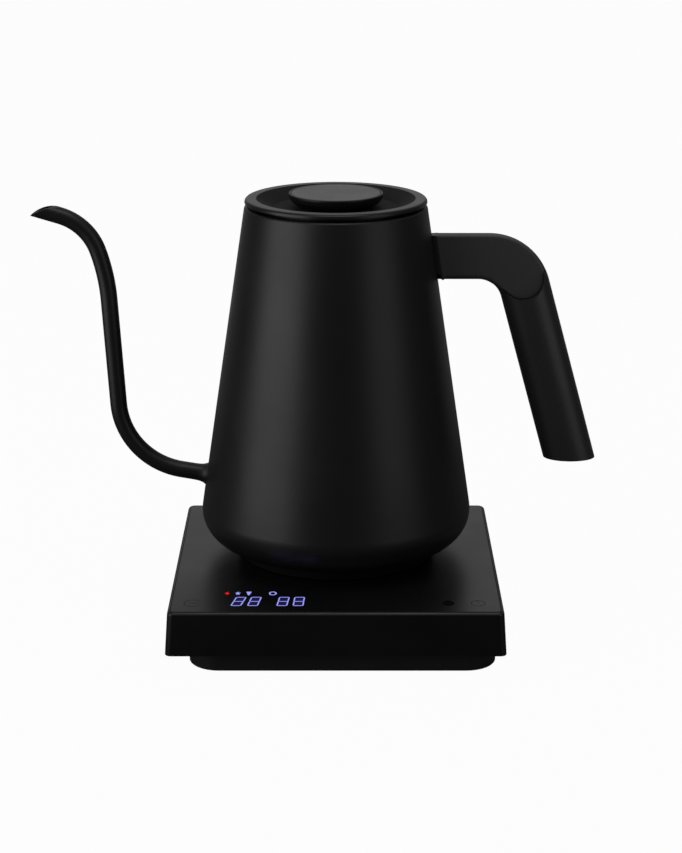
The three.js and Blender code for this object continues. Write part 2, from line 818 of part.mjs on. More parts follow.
addPart('lid_cap', cut(revolve([
  [lidScrewHole, dishUnder],
  [skirtInner, dishUnder],
  [skirtInner, skirtBottom],
  [skirtRadius, skirtBottom],
  [skirtRadius, ringUnder],
  [lidRingRadius, ringUnder],
  [lidRingRadius, dishRim - lidRingEdge],
  [lidRingRadius - lidRingEdge, dishRim],
  [dishRimRadius, dishRim],
  [dishFloorRadius, dishFloor],
  [lidScrewHole, dishFloor],
]), ...vents(dishUnder - overcut, dishFloor + overcut)), ...blackMetal);

const linerBottom = bodyRim - linerDepth;
const linerTop = skirtBottom - fitGap;
const grooveRadius = skirtRadius - gasketDepth;
const linerFlangeTop = linerBottom + linerFlange;
addPart('lid_liner', cut(revolve([
  [0, linerBottom],
  [skirtRadius, linerBottom],
  [skirtRadius, linerFlangeTop],
  [grooveRadius, linerFlangeTop],
  [grooveRadius, linerTop],
  [grooveRadius - linerWall, linerTop],
  [grooveRadius - linerWall, linerBottom + linerWall],
  [0, linerBottom + linerWall],
]), ...vents(linerBottom - overcut, linerBottom + linerWall + overcut)), ...steel);

const gasketBottom = linerFlangeTop + fitGap;
addPart('lid_gasket', revolve([
  [grooveRadius + fitGap, gasketBottom],
  [mouthRadius - fitGap, gasketBottom],
  [mouthRadius - fitGap, gasketBottom + gasketHeight],
  [grooveRadius + fitGap, gasketBottom + gasketHeight],
], fullTurn), 0x8a8a88, 0.8, 0);

const knobBottom = dishFloor + fitGap;
const knobTop = dishRim + knobRise;
const discSeat = knobTop - knobDiscThickness - fitGap;
const discRadius = knobTopRadius - knobDiscInset;
addPart('lid_knob', revolve([
  [lidScrewHole, knobBottom],
  [knobFootRadius, knobBottom],
  [knobBellyRadius, knobBottom + knobBellyRise],
  [knobTopRadius, knobTop - knobEdge],
  [knobTopRadius, knobTop],
  [discRadius + fitGap, knobTop],
  [discRadius + fitGap, discSeat],
  [0, discSeat],
  [0, knobBottom + lidScrewBite],
  [lidScrewHole, knobBottom + lidScrewBite],
]), 0x202021, 0.45, 0);
const discBottom = discSeat + fitGap;
addPart('knob_disc', column(discRadius, discBottom, knobTop, 0, 0, fullTurn), 0x5c5c5d, 0.4, 0.4);

const lidScrewBottom = dishUnder - fitGap - lidScrewHeadHeight;
const lidScrewLength = knobBottom + lidScrewBite - fitGap - lidScrewBottom;
addPart('lid_screw', screw(
  lidScrewShank, lidScrewHead, lidScrewHeadHeight, lidScrewBottom, lidScrewLength, 0, 0,
), ...steel);

// ---- Base housing: a drafted shell with a deck under the top plate ----
const screwPlaces = [];
const footPlaces = [];
for (const sideX of [-1, 1]) {
  for (const sideY of [-1, 1]) {
    screwPlaces.push([
      trayCentreX + sideX * (trayWidth / 2 - trayScrewInset),
      -baseSetBack + sideY * trayScrewSpanY / 2,
    ]);
    footPlaces.push([
      trayCentreX + sideX * (trayWidth / 2 - footInset),
      -baseSetBack + sideY * (trayDepth / 2 - footInset),
    ]);
  }
}
const recessSize = baseSize - 2 * plateRim;
const innerSize = baseSize - 2 * housingWall;
const controlY = baseFront + housingWall + controlBoardFromWall + controlBoardDepth / 2;
const touchY = baseFront + touchKeyFromFront;
const displayY = baseFront + housingWall + displayFromWall + displayDepth / 2;
const glandHeight = (housingBottom + deckBottom) / 2;
const rearWall = -baseSetBack + baseSize / 2;
const bossHole = bossRadius + fitGap;
const screwTip = trayScrewLength + overcut;
const recessTop = plateTop + overcut;
const glandReach = 3 * housingWall + glandFlangeThickness;
let housing = cut(
  draftedPlate(baseSize, baseSize, baseCornerRadius, housingBottom, plateTop),
  draftedPlate(innerSize, innerSize, baseCornerRadius, housingBottom - overcut, deckBottom),
  plate(recessSize, recessSize, baseCornerRadius - plateRim / 2, deckTop, recessTop, 0, -baseSetBack),
  column(bossHole, deckBottom - overcut, recessTop, 0, 0, innerTurn),
  block(
    displayWidth + 2 * fitGap, displayDepth + 2 * fitGap, deckBottom - overcut, recessTop,
    displayX, displayY,
  ),
  ...touchKeyX.map((x) => column(touchHoleRadius, deckBottom - overcut, recessTop, x, touchY)),
  rod(glandBarrel + fitGap, rearWall - glandReach, rearWall + glandReach, glandX, glandHeight),
);
for (const [x, y] of screwPlaces) {
  const boss = column(trayScrewShank + bossWall, trayFloor + fitGap, deckBottom + bossSunk, x, y);
  const bore = column(trayScrewShank + screwHoleGap, 0, screwTip + fitGap, x, y, boreTurn);
  housing = cut(join(housing, boss), bore);
}
addPart('base_housing', housing, ...blackPlastic);

const topPlateSize = recessSize - 2 * fitGap;
const topPlate = plate(
  topPlateSize, topPlateSize, baseCornerRadius - plateRim / 2, plateTop - plateThickness, plateTop,
  0, -baseSetBack,
);
const plateHole = column(bossHole, deckTop, recessTop, 0, 0, innerTurn);
addPart('top_plate', cut(topPlate, plateHole), 0x2a2a2b, 0.3, 0.1);

// ---- Base tray: a flanged cover with a deep off-centre sump ----
const coverBottom = housingBottom - coverDrop;
const coverTop = coverBottom + coverThickness;
const boardBottom = trayFloor + powerBoardLift + fitGap;
const boardX = trayCentreX;
const boardY = -baseSetBack + powerBoardBack;
let tray = join(
  plate(2 * coverHalf, 2 * coverHalf, baseCornerRadius, coverBottom, coverTop, 0, -baseSetBack),
  plate(
    trayWidth, trayDepth, trayCornerRadius, 0, coverBottom + overcut,
    trayCentreX, -baseSetBack, sumpCornerSteps,
  ),
);
tray = cut(tray, plate(
  trayWidth - 2 * trayWall, trayDepth - 2 * trayWall, trayCornerRadius - trayWall,
  trayFloor, coverTop + overcut, trayCentreX, -baseSetBack, sumpCornerSteps,
));
for (const sideX of [-1, 1]) {
  for (const sideY of [-1, 1]) {
    const x = boardX + sideX * (powerBoardWidth / 2 - 2 * powerBoardPost);
    const y = boardY + sideY * (powerBoardDepth / 2 - 2 * powerBoardPost);
    const post = column(
      powerBoardPost, trayFloor - bossSunk, trayFloor + powerBoardLift, x, y, boreTurn,
    );
    tray = join(tray, post);
  }
}
footPlaces.forEach(([x, y], i) => {
  tray = cut(tray, column(footRadius + fitGap, -overcut, footSunk + fitGap, x, y));
  addPart(`foot_${i + 1}`, column(footRadius, -footProud, footSunk, x, y), 0x161616, 0.9, 0);
});
screwPlaces.forEach(([x, y], i) => {
  tray = cut(
    tray,
    column(trayScrewHead + screwHoleGap, -overcut, trayScrewHeadHeight + fitGap, x, y),
    column(trayScrewShank + screwHoleGap, -overcut, trayFloor + overcut, x, y, boreTurn),
  );
  addPart(
    `tray_screw_${i + 1}`,
    screw(trayScrewShank, trayScrewHead, trayScrewHeadHeight, 0, trayScrewLength, x, y),
    ...steel,
  );
});
addPart('base_tray', tray, 0x151516, 0.55, 0);

// ---- Base half of the connector: a boss with a pin hole and a ring groove ----
const grooveInner = ringInside - contactRoom;
const grooveOuter = ringOutside + contactRoom;
const grooveBottom = bossTop - contactReach - contactRootDepth;
const connectorTop = deckBottom - fitGap;
const baseConnectorBottom = connectorTop - connectorDepth + connectorFlangeThickness;
const baseConnector = revolve([
  [pinRadius + contactRoom, baseConnectorBottom],
  [bossRadius, baseConnectorBottom],
  [bossRadius, connectorTop - connectorFlangeThickness],
  [connectorFlange, connectorTop - connectorFlangeThickness],
  [connectorFlange, connectorTop],
  [bossRadius, connectorTop],
  [bossRadius, bossTop],
  [pinRadius + contactRoom, bossTop],
], innerTurn);
const ringGroove = revolve([
  [grooveInner, grooveBottom],
  [grooveOuter, grooveBottom],
  [grooveOuter, bossTop + overcut],
  [grooveInner, bossTop + overcut],
], innerTurn);
addPart('base_coupler', cut(baseConnector, ringGroove), ...blackPlastic);
addPart('pin_contact', column(
  pinRadius, baseConnectorBottom, bossTop - contactReach - fitGap, 0, 0, smallTurn,
), ...brass);
addPart('ring_contact', revolve([
  [ringInside, grooveBottom + fitGap],
  [ringOutside, grooveBottom + fitGap],
  [ringOutside, bossTop - contactReach - fitGap],
  [ringInside, bossTop - contactReach - fitGap],
], innerTurn), ...brass);

// ---- Power board and the parts soldered to it ----
const boardTop = boardBottom + boardThickness;
const onBoard = boardTop + fitGap;
addPart('power_board', block(
  powerBoardWidth, powerBoardDepth, boardBottom, boardTop, boardX, boardY,
), ...greenBoard);

function boardPart(name, [width, depth, height], [x, y], ...finish) {
  addPart(name, block(width, depth, onBoard, onBoard + height, boardX + x, boardY + y), ...finish);
}

boardPart('relay', relaySize, relayPlace, 0x2b5fa8, 0.5, 0);
boardPart('transformer', transformerSize, transformerPlace, 0xd8c24a, 0.6, 0);
boardPart('heat_sink', heatSinkSize, heatSinkPlace, 0xa9adb3, 0.4, 0.9);
boardPart('terminal_block', terminalSize, terminalPlace, 0x3f9a52, 0.6, 0);
addPart('capacitor', column(
  capacitorRadius, onBoard, onBoard + capacitorHeight,
  boardX + capacitorPlace[0], boardY + capacitorPlace[1],
), 0x30343a, 0.4, 0.3);
const fuseY = boardY + fusePlace[1];
addPart('fuse', rod(
  fuseRadius, fuseY - fuseLength / 2, fuseY + fuseLength / 2, boardX + fusePlace[0], onBoard + fuseRadius,
), 0xd9d4c4, 0.4, 0);

// ---- Control board behind the display and the touch keys ----
const controlTop = deckBottom - controlBoardDrop;
const onControl = controlTop + fitGap;
addPart('control_board', block(
  controlBoardWidth, controlBoardDepth, controlTop - boardThickness, controlTop, 0, controlY,
), ...greenBoard);
addPart('display_module', block(
  displayWidth, displayDepth, onControl, deckTop, displayX, displayY,
), 0x0c0c10, 0.2, 0);
addPart('buzzer', column(
  buzzerRadius, onControl, onControl + buzzerHeight, buzzerX, controlY,
), 0x151516, 0.5, 0);
touchKeyX.forEach((x, i) => {
  addPart(`touch_spring_${i + 1}`, column(touchSpringRadius, onControl, deckTop, x, touchY), ...steel);
});

// ---- Cord entry at the back: gland through the rear wall and a clamp inside ----
const lowestWall = rearWall + housingDraft * (plateTop - glandHeight + glandFlange) / housingHeight;
const highestWall = rearWall + housingDraft * (plateTop - glandHeight - glandFlange) / housingHeight;
const innerWall = highestWall - housingWall - fitGap;
const outerWall = lowestWall + fitGap;
const cordReach = 2 * clampFromGland;
const cordHole = rod(glandBore, rearWall - cordReach, rearWall + cordReach, glandX, glandHeight);
addPart('cord_gland', cut(join(
  rod(glandBarrel, innerWall - glandEndProud, outerWall + glandEndProud, glandX, glandHeight),
  rod(glandFlange, innerWall - glandFlangeThickness, innerWall, glandX, glandHeight),
  rod(glandFlange, outerWall, outerWall + glandFlangeThickness, glandX, glandHeight),
), cordHole), 0x141414, 0.8, 0);
const [clampWidth, clampDepth] = clampSize;
const clampY = innerWall - glandFlangeThickness - clampFromGland + clampDepth / 2;
const clampBlock = block(
  clampWidth, clampDepth, glandHeight - clampBelowCord, deckBottom - fitGap, glandX, clampY,
);
addPart('cord_clamp', cut(clampBlock, cordHole), 0xcfcabc, 0.6, 0);

export default kettle;
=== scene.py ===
import math
import bpy
import bmesh
from mathutils import Matrix, Vector


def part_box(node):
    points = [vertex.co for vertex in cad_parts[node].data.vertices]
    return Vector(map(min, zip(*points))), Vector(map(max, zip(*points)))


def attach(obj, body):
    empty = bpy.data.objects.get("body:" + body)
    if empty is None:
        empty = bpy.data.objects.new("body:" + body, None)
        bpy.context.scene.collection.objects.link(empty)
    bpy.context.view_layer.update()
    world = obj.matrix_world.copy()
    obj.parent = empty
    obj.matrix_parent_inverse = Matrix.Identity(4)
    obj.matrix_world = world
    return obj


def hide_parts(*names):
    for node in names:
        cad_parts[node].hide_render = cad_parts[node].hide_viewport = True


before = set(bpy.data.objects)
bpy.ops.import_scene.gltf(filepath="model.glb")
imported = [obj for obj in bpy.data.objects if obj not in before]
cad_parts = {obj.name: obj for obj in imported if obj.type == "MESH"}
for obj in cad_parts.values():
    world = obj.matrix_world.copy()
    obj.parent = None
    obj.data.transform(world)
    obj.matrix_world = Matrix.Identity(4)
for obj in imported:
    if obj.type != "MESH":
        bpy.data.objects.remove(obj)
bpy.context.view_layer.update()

scene = bpy.context.scene
mm = 0.001

# ---- Camera and studio ----
# The kettle stands on a pale table. A large softbox stands to its left, a weaker one to its right
# and a small one overhead, with a bright wall behind it and a dim room in front.
camera_place = (2.5 * mm, -1058.7 * mm, 412.6 * mm)
camera_tilt = 16.62
camera_data = bpy.data.cameras.new("camera")
camera_data.sensor_width = 36.0
camera_data.lens = 92.39
camera = bpy.data.objects.new("camera", camera_data)
camera.location = camera_place
camera.rotation_euler = (math.radians(90 - camera_tilt), 0, 0)
scene.collection.objects.link(camera)
scene.camera = camera
scene.view_settings.view_transform = "Standard"


class NodeSheet:
    """Adds nodes to a node tree and joins them by name."""

    def __init__(self, tree):
        self.tree = tree
        tree.nodes.clear()

    def add(self, kind, **settings):
        node = self.tree.nodes.new("ShaderNode" + kind)
        for key, value in settings.items():
            setattr(node, key, value)
        return node

    def set(self, socket, value):
        """Gives a socket a plain value or joins it to another node's output."""
        if isinstance(value, bpy.types.NodeSocket):
            self.tree.links.new(value, socket)
        else:
            socket.default_value = value

    def math(self, operation, first, second=0.0):
        node = self.add("Math", operation=operation)
        self.set(node.inputs[0], first)
        self.set(node.inputs[1], second)
        return node.outputs[0]

    def ramp(self, value, low, high, to_low=0.0, to_high=1.0):
        """A smooth step from to_low to to_high as the value goes from low to high."""
        node = self.add("MapRange", interpolation_type="SMOOTHSTEP")
        limits = {"From Min": low, "From Max": high, "To Min": to_low, "To Max": to_high}
        for name, number in limits.items():
            self.set(node.inputs[name], number)
        self.set(node.inputs["Value"], value)
        return node.outputs["Result"]

    def mix(self, factor, first, second):
        node = self.add("Mix", data_type="RGBA")
        for name, value in (("Factor", factor), ("A", first), ("B", second)):
            sockets = [s for s in node.inputs if s.name == name and s.enabled]
            self.set(sockets[0], value)
        return next(s for s in node.outputs if s.enabled)


def gray(level):
    return (level, level, level, 1.0)


room_level = 0.07
wall_level = 0.12
ceiling_level = 0.22
panel_gain = 2.5
panel_facing = (-0.07, 0.998, 0)


def studio_world():
    """White to the eye. What the finishes mirror is a dim room with a brighter wall and panel behind."""
    world = bpy.data.worlds.new("studio")
    world.use_nodes = True
    scene.world = world
    sheet = NodeSheet(world.node_tree)
    direction = sheet.add("SeparateXYZ")
    generated = sheet.add("TexCoord").outputs["Generated"]
    sheet.set(direction.inputs[0], generated)
    wall = sheet.ramp(direction.outputs["Y"], 0.5, 0.86, 0.0, wall_level)
    level = sheet.add("VectorMath", operation="MULTIPLY")
    sheet.set(level.inputs[0], generated)
    level.inputs[1].default_value = (1, 1, 0)
    unit = sheet.add("VectorMath", operation="NORMALIZE")
    sheet.set(unit.inputs[0], level.outputs["Vector"])
    facing = sheet.add("VectorMath", operation="DOT_PRODUCT")
    sheet.set(facing.inputs[0], unit.outputs["Vector"])
    facing.inputs[1].default_value = panel_facing
    panel = sheet.math("MULTIPLY", wall, sheet.ramp(facing.outputs["Value"], 0.93, 0.985, 0.0, panel_gain))
    ceiling = sheet.ramp(direction.outputs["Z"], 0.25, 0.9, 0.0, ceiling_level)
    room = sheet.math("ADD", sheet.math("ADD", sheet.math("ADD", wall, panel), ceiling), room_level)
    dim = sheet.add("Background")
    sheet.set(dim.inputs["Strength"], room)
    white = sheet.add("Background")
    seen = sheet.add("LightPath").outputs["Is Camera Ray"]
    mixed = sheet.add("MixShader")
    sheet.set(mixed.inputs[0], seen)
    sheet.set(mixed.inputs[1], dim.outputs[0])
    sheet.set(mixed.inputs[2], white.outputs[0])
    white.inputs["Color"].default_value = gray(1.0)
    sheet.set(sheet.add("OutputWorld").inputs["Surface"], mixed.outputs[0])


light_aim = Vector((0, 0, 120 * mm))


def softbox(name, azimuth, elevation, distance, width, height, power):
    """An area light on a circle round the kettle, azimuth in degrees from the front to the right."""
    data = bpy.data.lights.new(name, "AREA")
    data.shape = "RECTANGLE"
    data.size, data.size_y = width, height
    data.energy = power
    light = bpy.data.objects.new(name, data)
    turn, rise = math.radians(azimuth), math.radians(elevation)
    outward = Vector((math.sin(turn) * math.cos(rise), -math.cos(turn) * math.cos(rise), math.sin(rise)))
    light.location = light_aim + outward * distance
    light.rotation_euler = outward.to_track_quat("Z", "Y").to_euler()
    light.visible_camera = False
    scene.collection.objects.link(light)


studio_world()
softbox("left softbox", -62, 8, 1.6, 1.45, 1.9, 12.5)
softbox("right softbox", 52, 8, 1.6, 1.0, 1.9, 2.9)
softbox("top softbox", 10, 74, 1.5, 0.9, 0.7, 3.0)


table_radius = 12.0
table_pale = 0.8
table_glow_share = 0.97
table_dim = 0.13
dim_inner_radius = 0.4
dim_outer_radius = 0.7


def studio_table():
    """A round table, pale to the eye. Only its middle shows dimly in the kettle's finish."""
    mesh = bpy.data.meshes.new("table")
    form = bmesh.new()
    bmesh.ops.create_circle(form, cap_ends=True, segments=96, radius=table_radius)
    bmesh.ops.translate(form, verts=form.verts, vec=(0, 0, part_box("foot_1")[0].z))
    form.to_mesh(mesh)
    form.free()
    table = bpy.data.objects.new("table", mesh)
    scene.collection.objects.link(table)
    material = bpy.data.materials.new("pale table")
    material.use_nodes = True
    sheet = NodeSheet(material.node_tree)
    path = sheet.add("LightPath")
    lit = sheet.add("BsdfDiffuse")
    lit.inputs["Color"].default_value = gray(table_pale)
    glow = sheet.add("Emission")
    glow.inputs["Color"].default_value = gray(1.0)
    seen = sheet.add("MixShader")
    seen.inputs[0].default_value = table_glow_share
    sheet.set(seen.inputs[1], lit.outputs[0])
    sheet.set(seen.inputs[2], glow.outputs[0])
    dim = sheet.add("BsdfDiffuse")
    dim.inputs["Color"].default_value = gray(table_dim)
    clear = sheet.add("BsdfTransparent")
    place = sheet.add("VectorMath", operation="LENGTH")
    sheet.set(place.inputs[0], sheet.add("TexCoord").outputs["Object"])
    unseen = sheet.add("MixShader")
    sheet.set(unseen.inputs[0], sheet.ramp(place.outputs["Value"], dim_inner_radius, dim_outer_radius))
    sheet.set(unseen.inputs[1], dim.outputs[0])
    sheet.set(unseen.inputs[2], clear.outputs[0])
    both = sheet.add("MixShader")
    sheet.set(both.inputs[0], path.outputs["Is Camera Ray"])
    sheet.set(both.inputs[1], unseen.outputs[0])
    sheet.set(both.inputs[2], seen.outputs[0])
    sheet.set(sheet.add("OutputMaterial").inputs["Surface"], both.outputs[0])
    mesh.materials.append(material)


studio_table()

# ---- Base tray ----
# The underside of the powered base is one moulded tray in a fine-grained black plastic: a flange
# that closes the housing, and a deeper sump, set off to the right, that holds the power board.


def fine_grain_group():
    """The fine spark-eroded or sprayed grain of a black finish, with larger soft unevenness."""
    group = bpy.data.node_groups.new("fine grain", "ShaderNodeTree")
    sheet = NodeSheet(group)
    for name, value in (("Grain Size", 0.0005), ("Patch Size", 0.03)):
        socket = group.interface.new_socket(name, in_out="INPUT", socket_type="NodeSocketFloat")
        socket.default_value = value
    for name in ("Height", "Grain", "Patches"):
        group.interface.new_socket(name, in_out="OUTPUT", socket_type="NodeSocketFloat")
    given = sheet.tree.nodes.new("NodeGroupInput")
    result = sheet.tree.nodes.new("NodeGroupOutput")
    place = sheet.add("TexCoord").outputs["Object"]
    fine = sheet.add("TexNoise")
    fine.inputs["Detail"].default_value = 2.0
    sheet.set(fine.inputs["Vector"], place)
    sheet.set(fine.inputs["Scale"], sheet.math("DIVIDE", 1.0, given.outputs["Grain Size"]))
    broad = sheet.add("TexNoise")
    broad.inputs["Detail"].default_value = 4.0
    broad.inputs["Distortion"].default_value = 0.6
    sheet.set(broad.inputs["Vector"], place)
    sheet.set(broad.inputs["Scale"], sheet.math("DIVIDE", 1.0, given.outputs["Patch Size"]))
    sheet.set(result.inputs["Height"], fine.outputs["Fac"])
    sheet.set(result.inputs["Grain"], sheet.ramp(fine.outputs["Fac"], 0.35, 0.65))
    sheet.set(result.inputs["Patches"], sheet.ramp(broad.outputs["Fac"], 0.3, 0.7))
    return group


def painted_edge_sheen_group():
    """A painted highlight along a piece's outer edges, broken up into small patches by noise."""
    group = bpy.data.node_groups.new("painted edge sheen", "ShaderNodeTree")
    sheet = NodeSheet(group)
    for name, value in (("Reach", 0.0008), ("Breakup Size", 0.004)):
        socket = group.interface.new_socket(name, in_out="INPUT", socket_type="NodeSocketFloat")
        socket.default_value = value
    group.interface.new_socket("Edge Sheen", in_out="OUTPUT", socket_type="NodeSocketFloat")
    given = sheet.tree.nodes.new("NodeGroupInput")
    result = sheet.tree.nodes.new("NodeGroupOutput")
    rounded = sheet.add("Bevel", samples=4)
    sheet.set(rounded.inputs["Radius"], given.outputs["Reach"])
    likeness = sheet.add("VectorMath", operation="DOT_PRODUCT")
    sheet.set(likeness.inputs[0], rounded.outputs["Normal"])
    sheet.set(likeness.inputs[1], sheet.add("NewGeometry").outputs["Normal"])
    # Where the rounded normal turns away from the true one, the painted edge highlight goes.
    edge = sheet.ramp(likeness.outputs["Value"], 0.99, 0.8)
    breakup_noise = sheet.add("TexNoise")
    breakup_noise.inputs["Detail"].default_value = 5.0
    sheet.set(breakup_noise.inputs["Vector"], sheet.add("TexCoord").outputs["Object"])
    sheet.set(breakup_noise.inputs["Scale"], sheet.math("DIVIDE", 1.0, given.outputs["Breakup Size"]))
    broken = sheet.ramp(breakup_noise.outputs["Fac"], 0.3, 0.7, 0.35, 1.0)
    sheet.set(result.inputs["Edge Sheen"], sheet.math("MULTIPLY", edge, broken))
    return group


fine_grain = fine_grain_group()
painted_edge_sheen = painted_edge_sheen_group()


def finish(name, color, edge_sheen_color, roughness, spread=0.08, metallic=0.0, grain=0.5 * mm, depth=0.3,
           patch=30 * mm, reach=0.6 * mm, ior=1.5, matt_radius=0.0, matt_more=0.0):
    """A moulded, sprayed or plated surface: its colour, a painted highlight on its edges and its grain.
    Within matt_radius of the upright axis it may be rougher by matt_more."""
    material = bpy.data.materials.new(name)
    material.use_nodes = True
    sheet = NodeSheet(material.node_tree)
    surface = sheet.add("BsdfPrincipled")
    surface.inputs["Metallic"].default_value = metallic
    surface.inputs["IOR"].default_value = ior
    texture = sheet.add("Group", node_tree=fine_grain)
    texture.inputs["Grain Size"].default_value = grain
    texture.inputs["Patch Size"].default_value = patch
    edge_sheen_node = sheet.add("Group", node_tree=painted_edge_sheen)
    edge_sheen_node.inputs["Reach"].default_value = reach
    shaded = [0.8 * part for part in color]
    mottled = sheet.mix(texture.outputs["Grain"], (*color, 1.0), (*shaded, 1.0))
    # The second colour, mixed in along the edges, is a painted edge highlight.
    sheet.set(surface.inputs["Base Color"], sheet.mix(edge_sheen_node.outputs["Edge Sheen"], mottled, (*edge_sheen_color, 1.0)))
    unevenness = sheet.math("MULTIPLY", sheet.math("SUBTRACT", texture.outputs["Patches"], 0.5), spread)
    speckle = sheet.math("MULTIPLY", sheet.math("SUBTRACT", texture.outputs["Grain"], 0.5), spread / 2)
    rough = sheet.math("ADD", sheet.math("ADD", unevenness, speckle), roughness)
    if matt_radius:
        place = sheet.add("SeparateXYZ")
        sheet.set(place.inputs[0], sheet.add("TexCoord").outputs["Object"])
        squares = [sheet.math("MULTIPLY", place.outputs[axis], place.outputs[axis]) for axis in "XY"]
        distance = sheet.math("SQRT", sheet.math("ADD", *squares))
        blend = 0.4 * mm
        inside = sheet.ramp(distance, matt_radius - blend, matt_radius + blend, 1.0, 0.0)
        rough = sheet.math("ADD", rough, sheet.math("MULTIPLY", inside, matt_more))
    sheet.set(surface.inputs["Roughness"], rough)
    relief = sheet.add("Bump")
    relief.inputs["Strength"].default_value = depth
    relief.inputs["Distance"].default_value = grain / 8
    sheet.set(relief.inputs["Height"], texture.outputs["Height"])
    sheet.set(surface.inputs["Normal"], relief.outputs["Normal"])
    sheet.set(sheet.add("OutputMaterial").inputs["Surface"], surface.outputs[0])
    return material


def rounded_loop(half_x, half_y, radius, height, centre=(0, 0), steps=8):
    """Points round a rectangle with round corners, anticlockwise, at one height."""
    radius = max(radius, 0.05 * mm)
    corners = ((1, 1, 0), (-1, 1, 90), (-1, -1, 180), (1, -1, 270))
    loop = []
    for side_x, side_y, start in corners:
        x = centre[0] + side_x * (half_x - radius)
        y = centre[1] + side_y * (half_y - radius)
        for i in range(steps + 1):
            angle = math.radians(start + 90 * i / steps)
            loop.append(Vector((x + radius * math.cos(angle), y + radius * math.sin(angle), height)))
    return loop


def round_loop(radius, height, like):
    """A circle round the upright axis whose points face those of another loop."""
    middle = sum(like, Vector()) / len(like)
    loop = []
    for point in like:
        angle = math.atan2(point.y - middle.y, point.x - middle.x)
        loop.append(Vector((radius * math.cos(angle), radius * math.sin(angle), height)))
    return loop


def even_shading(piece):
    """Keeps a large flat face evenly shaded beside the small rounded ones that edge it."""
    weighting = piece.modifiers.new("even shading", "WEIGHTED_NORMAL")
    weighting.keep_sharp = True


def make_piece(name, form, material, sharp=35.0):
    """Turns a bmesh into an object with smooth faces between its sharp edges."""
    bmesh.ops.remove_doubles(form, verts=form.verts, dist=1e-6)
    bmesh.ops.recalc_face_normals(form, faces=form.faces)
    mesh = bpy.data.meshes.new(name)
    form.to_mesh(mesh)
    form.free()
    mesh.shade_smooth()
    mesh.set_sharp_from_angle(angle=math.radians(sharp))
    mesh.materials.append(material)
    piece = bpy.data.objects.new(name, mesh)
    scene.collection.objects.link(piece)
    even_shading(piece)
    return piece


def loft(loops, ring=False):
    """Faces between loops of equal length. A ring joins its last loop to its first."""
    form = bmesh.new()
    rows = [[form.verts.new(point) for point in loop] for loop in loops]
    pairs = list(zip(rows, rows[1:]))
    if ring:
        pairs.append((rows[-1], rows[0]))
    for low, high in pairs:
        for i in range(len(low)):
            j = (i + 1) % len(low)
            form.faces.new((low[i], low[j], high[j], high[i]))
    if not ring:
        form.faces.new(rows[0])
        form.faces.new(rows[-1])
    return form


housing_low, housing_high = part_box("base_housing")
tray_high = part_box("base_tray")[1]
base_y = (housing_low.y + housing_high.y) / 2
cover_half = tray_high.x
sump_left = -71.0 * mm
sump_x = (sump_left + cover_half) / 2
sump_half_x = (cover_half - sump_left) / 2
sump_half_y = 75 * mm
sump_radius = 15 * mm
tray_wall = 2 * mm
tray_edge = 1.2 * mm
flange_edge = 0.3 * mm
cover_radius = 3 * mm
cover_under = tray_high.z - 2.5 * mm


def tray_loops():
    """From the sump's inner floor up and over the flange, then down and round to the underside."""
    sump = (sump_x, base_y)
    whole = (0, base_y)

    def pan(inset, height):
        return rounded_loop(sump_half_x - inset, sump_half_y - inset, sump_radius - inset, height, sump)

    def cover(inset, height):
        return rounded_loop(cover_half - inset, cover_half - inset, cover_radius, height, whole)

    loops = [pan(tray_wall, tray_wall), pan(tray_wall, tray_high.z - flange_edge)]
    loops += [pan(tray_wall - flange_edge, tray_high.z), cover(flange_edge, tray_high.z)]
    loops += [cover(0, tray_high.z - flange_edge), cover(0, cover_under + flange_edge)]
    loops += [cover(flange_edge, cover_under), pan(0, cover_under)]
    for i in range(7):
        angle = math.radians(90 * i / 6)
        inset = tray_edge * (1 - math.cos(angle))
        loops.append(pan(inset, tray_edge * (1 - math.sin(angle))))
    return loops


tray_plastic = finish(
    "tray plastic", (0.017, 0.017, 0.0175), (0.03, 0.03, 0.03), 0.42, grain=0.7 * mm, depth=0.5,
)
tray = make_piece("tray", loft(tray_loops()), tray_plastic)
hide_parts("base_tray")
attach(tray, "base")

# ---- Feet and tray screws ----
# Four soft rubber pads are pressed into round seats under the sump, and four plated screws
# go up through it into the housing's bosses.


def soften(outline, closed=True, steps=4):
    """An outline of (radius, height) or (radius, height, rounding) points with its corners rounded."""
    count = len(outline)
    result = []
    for i, point in enumerate(outline):
        here = Vector(point[:2])
        rounding = point[2] if len(point) > 2 else 0.0
        at_end = not closed and i in (0, count - 1)
        if at_end or rounding == 0:
            result.append(here)
            continue
        before = Vector(outline[i - 1][:2]) - here
        after = Vector(outline[(i + 1) % count][:2]) - here
        half = before.angle(after) / 2
        reach = min(rounding / math.tan(half), 0.48 * before.length, 0.48 * after.length)
        radius = reach * math.tan(half)
        middle = here + (before.normalized() + after.normalized()).normalized() * (radius / math.sin(half))
        start = here + before.normalized() * reach - middle
        end = here + after.normalized() * reach - middle
        turn = start.angle_signed(end)
        for k in range(steps + 1):
            spin = Matrix.Rotation(-turn * k / steps, 2)
            result.append(middle + spin @ start)
    return result


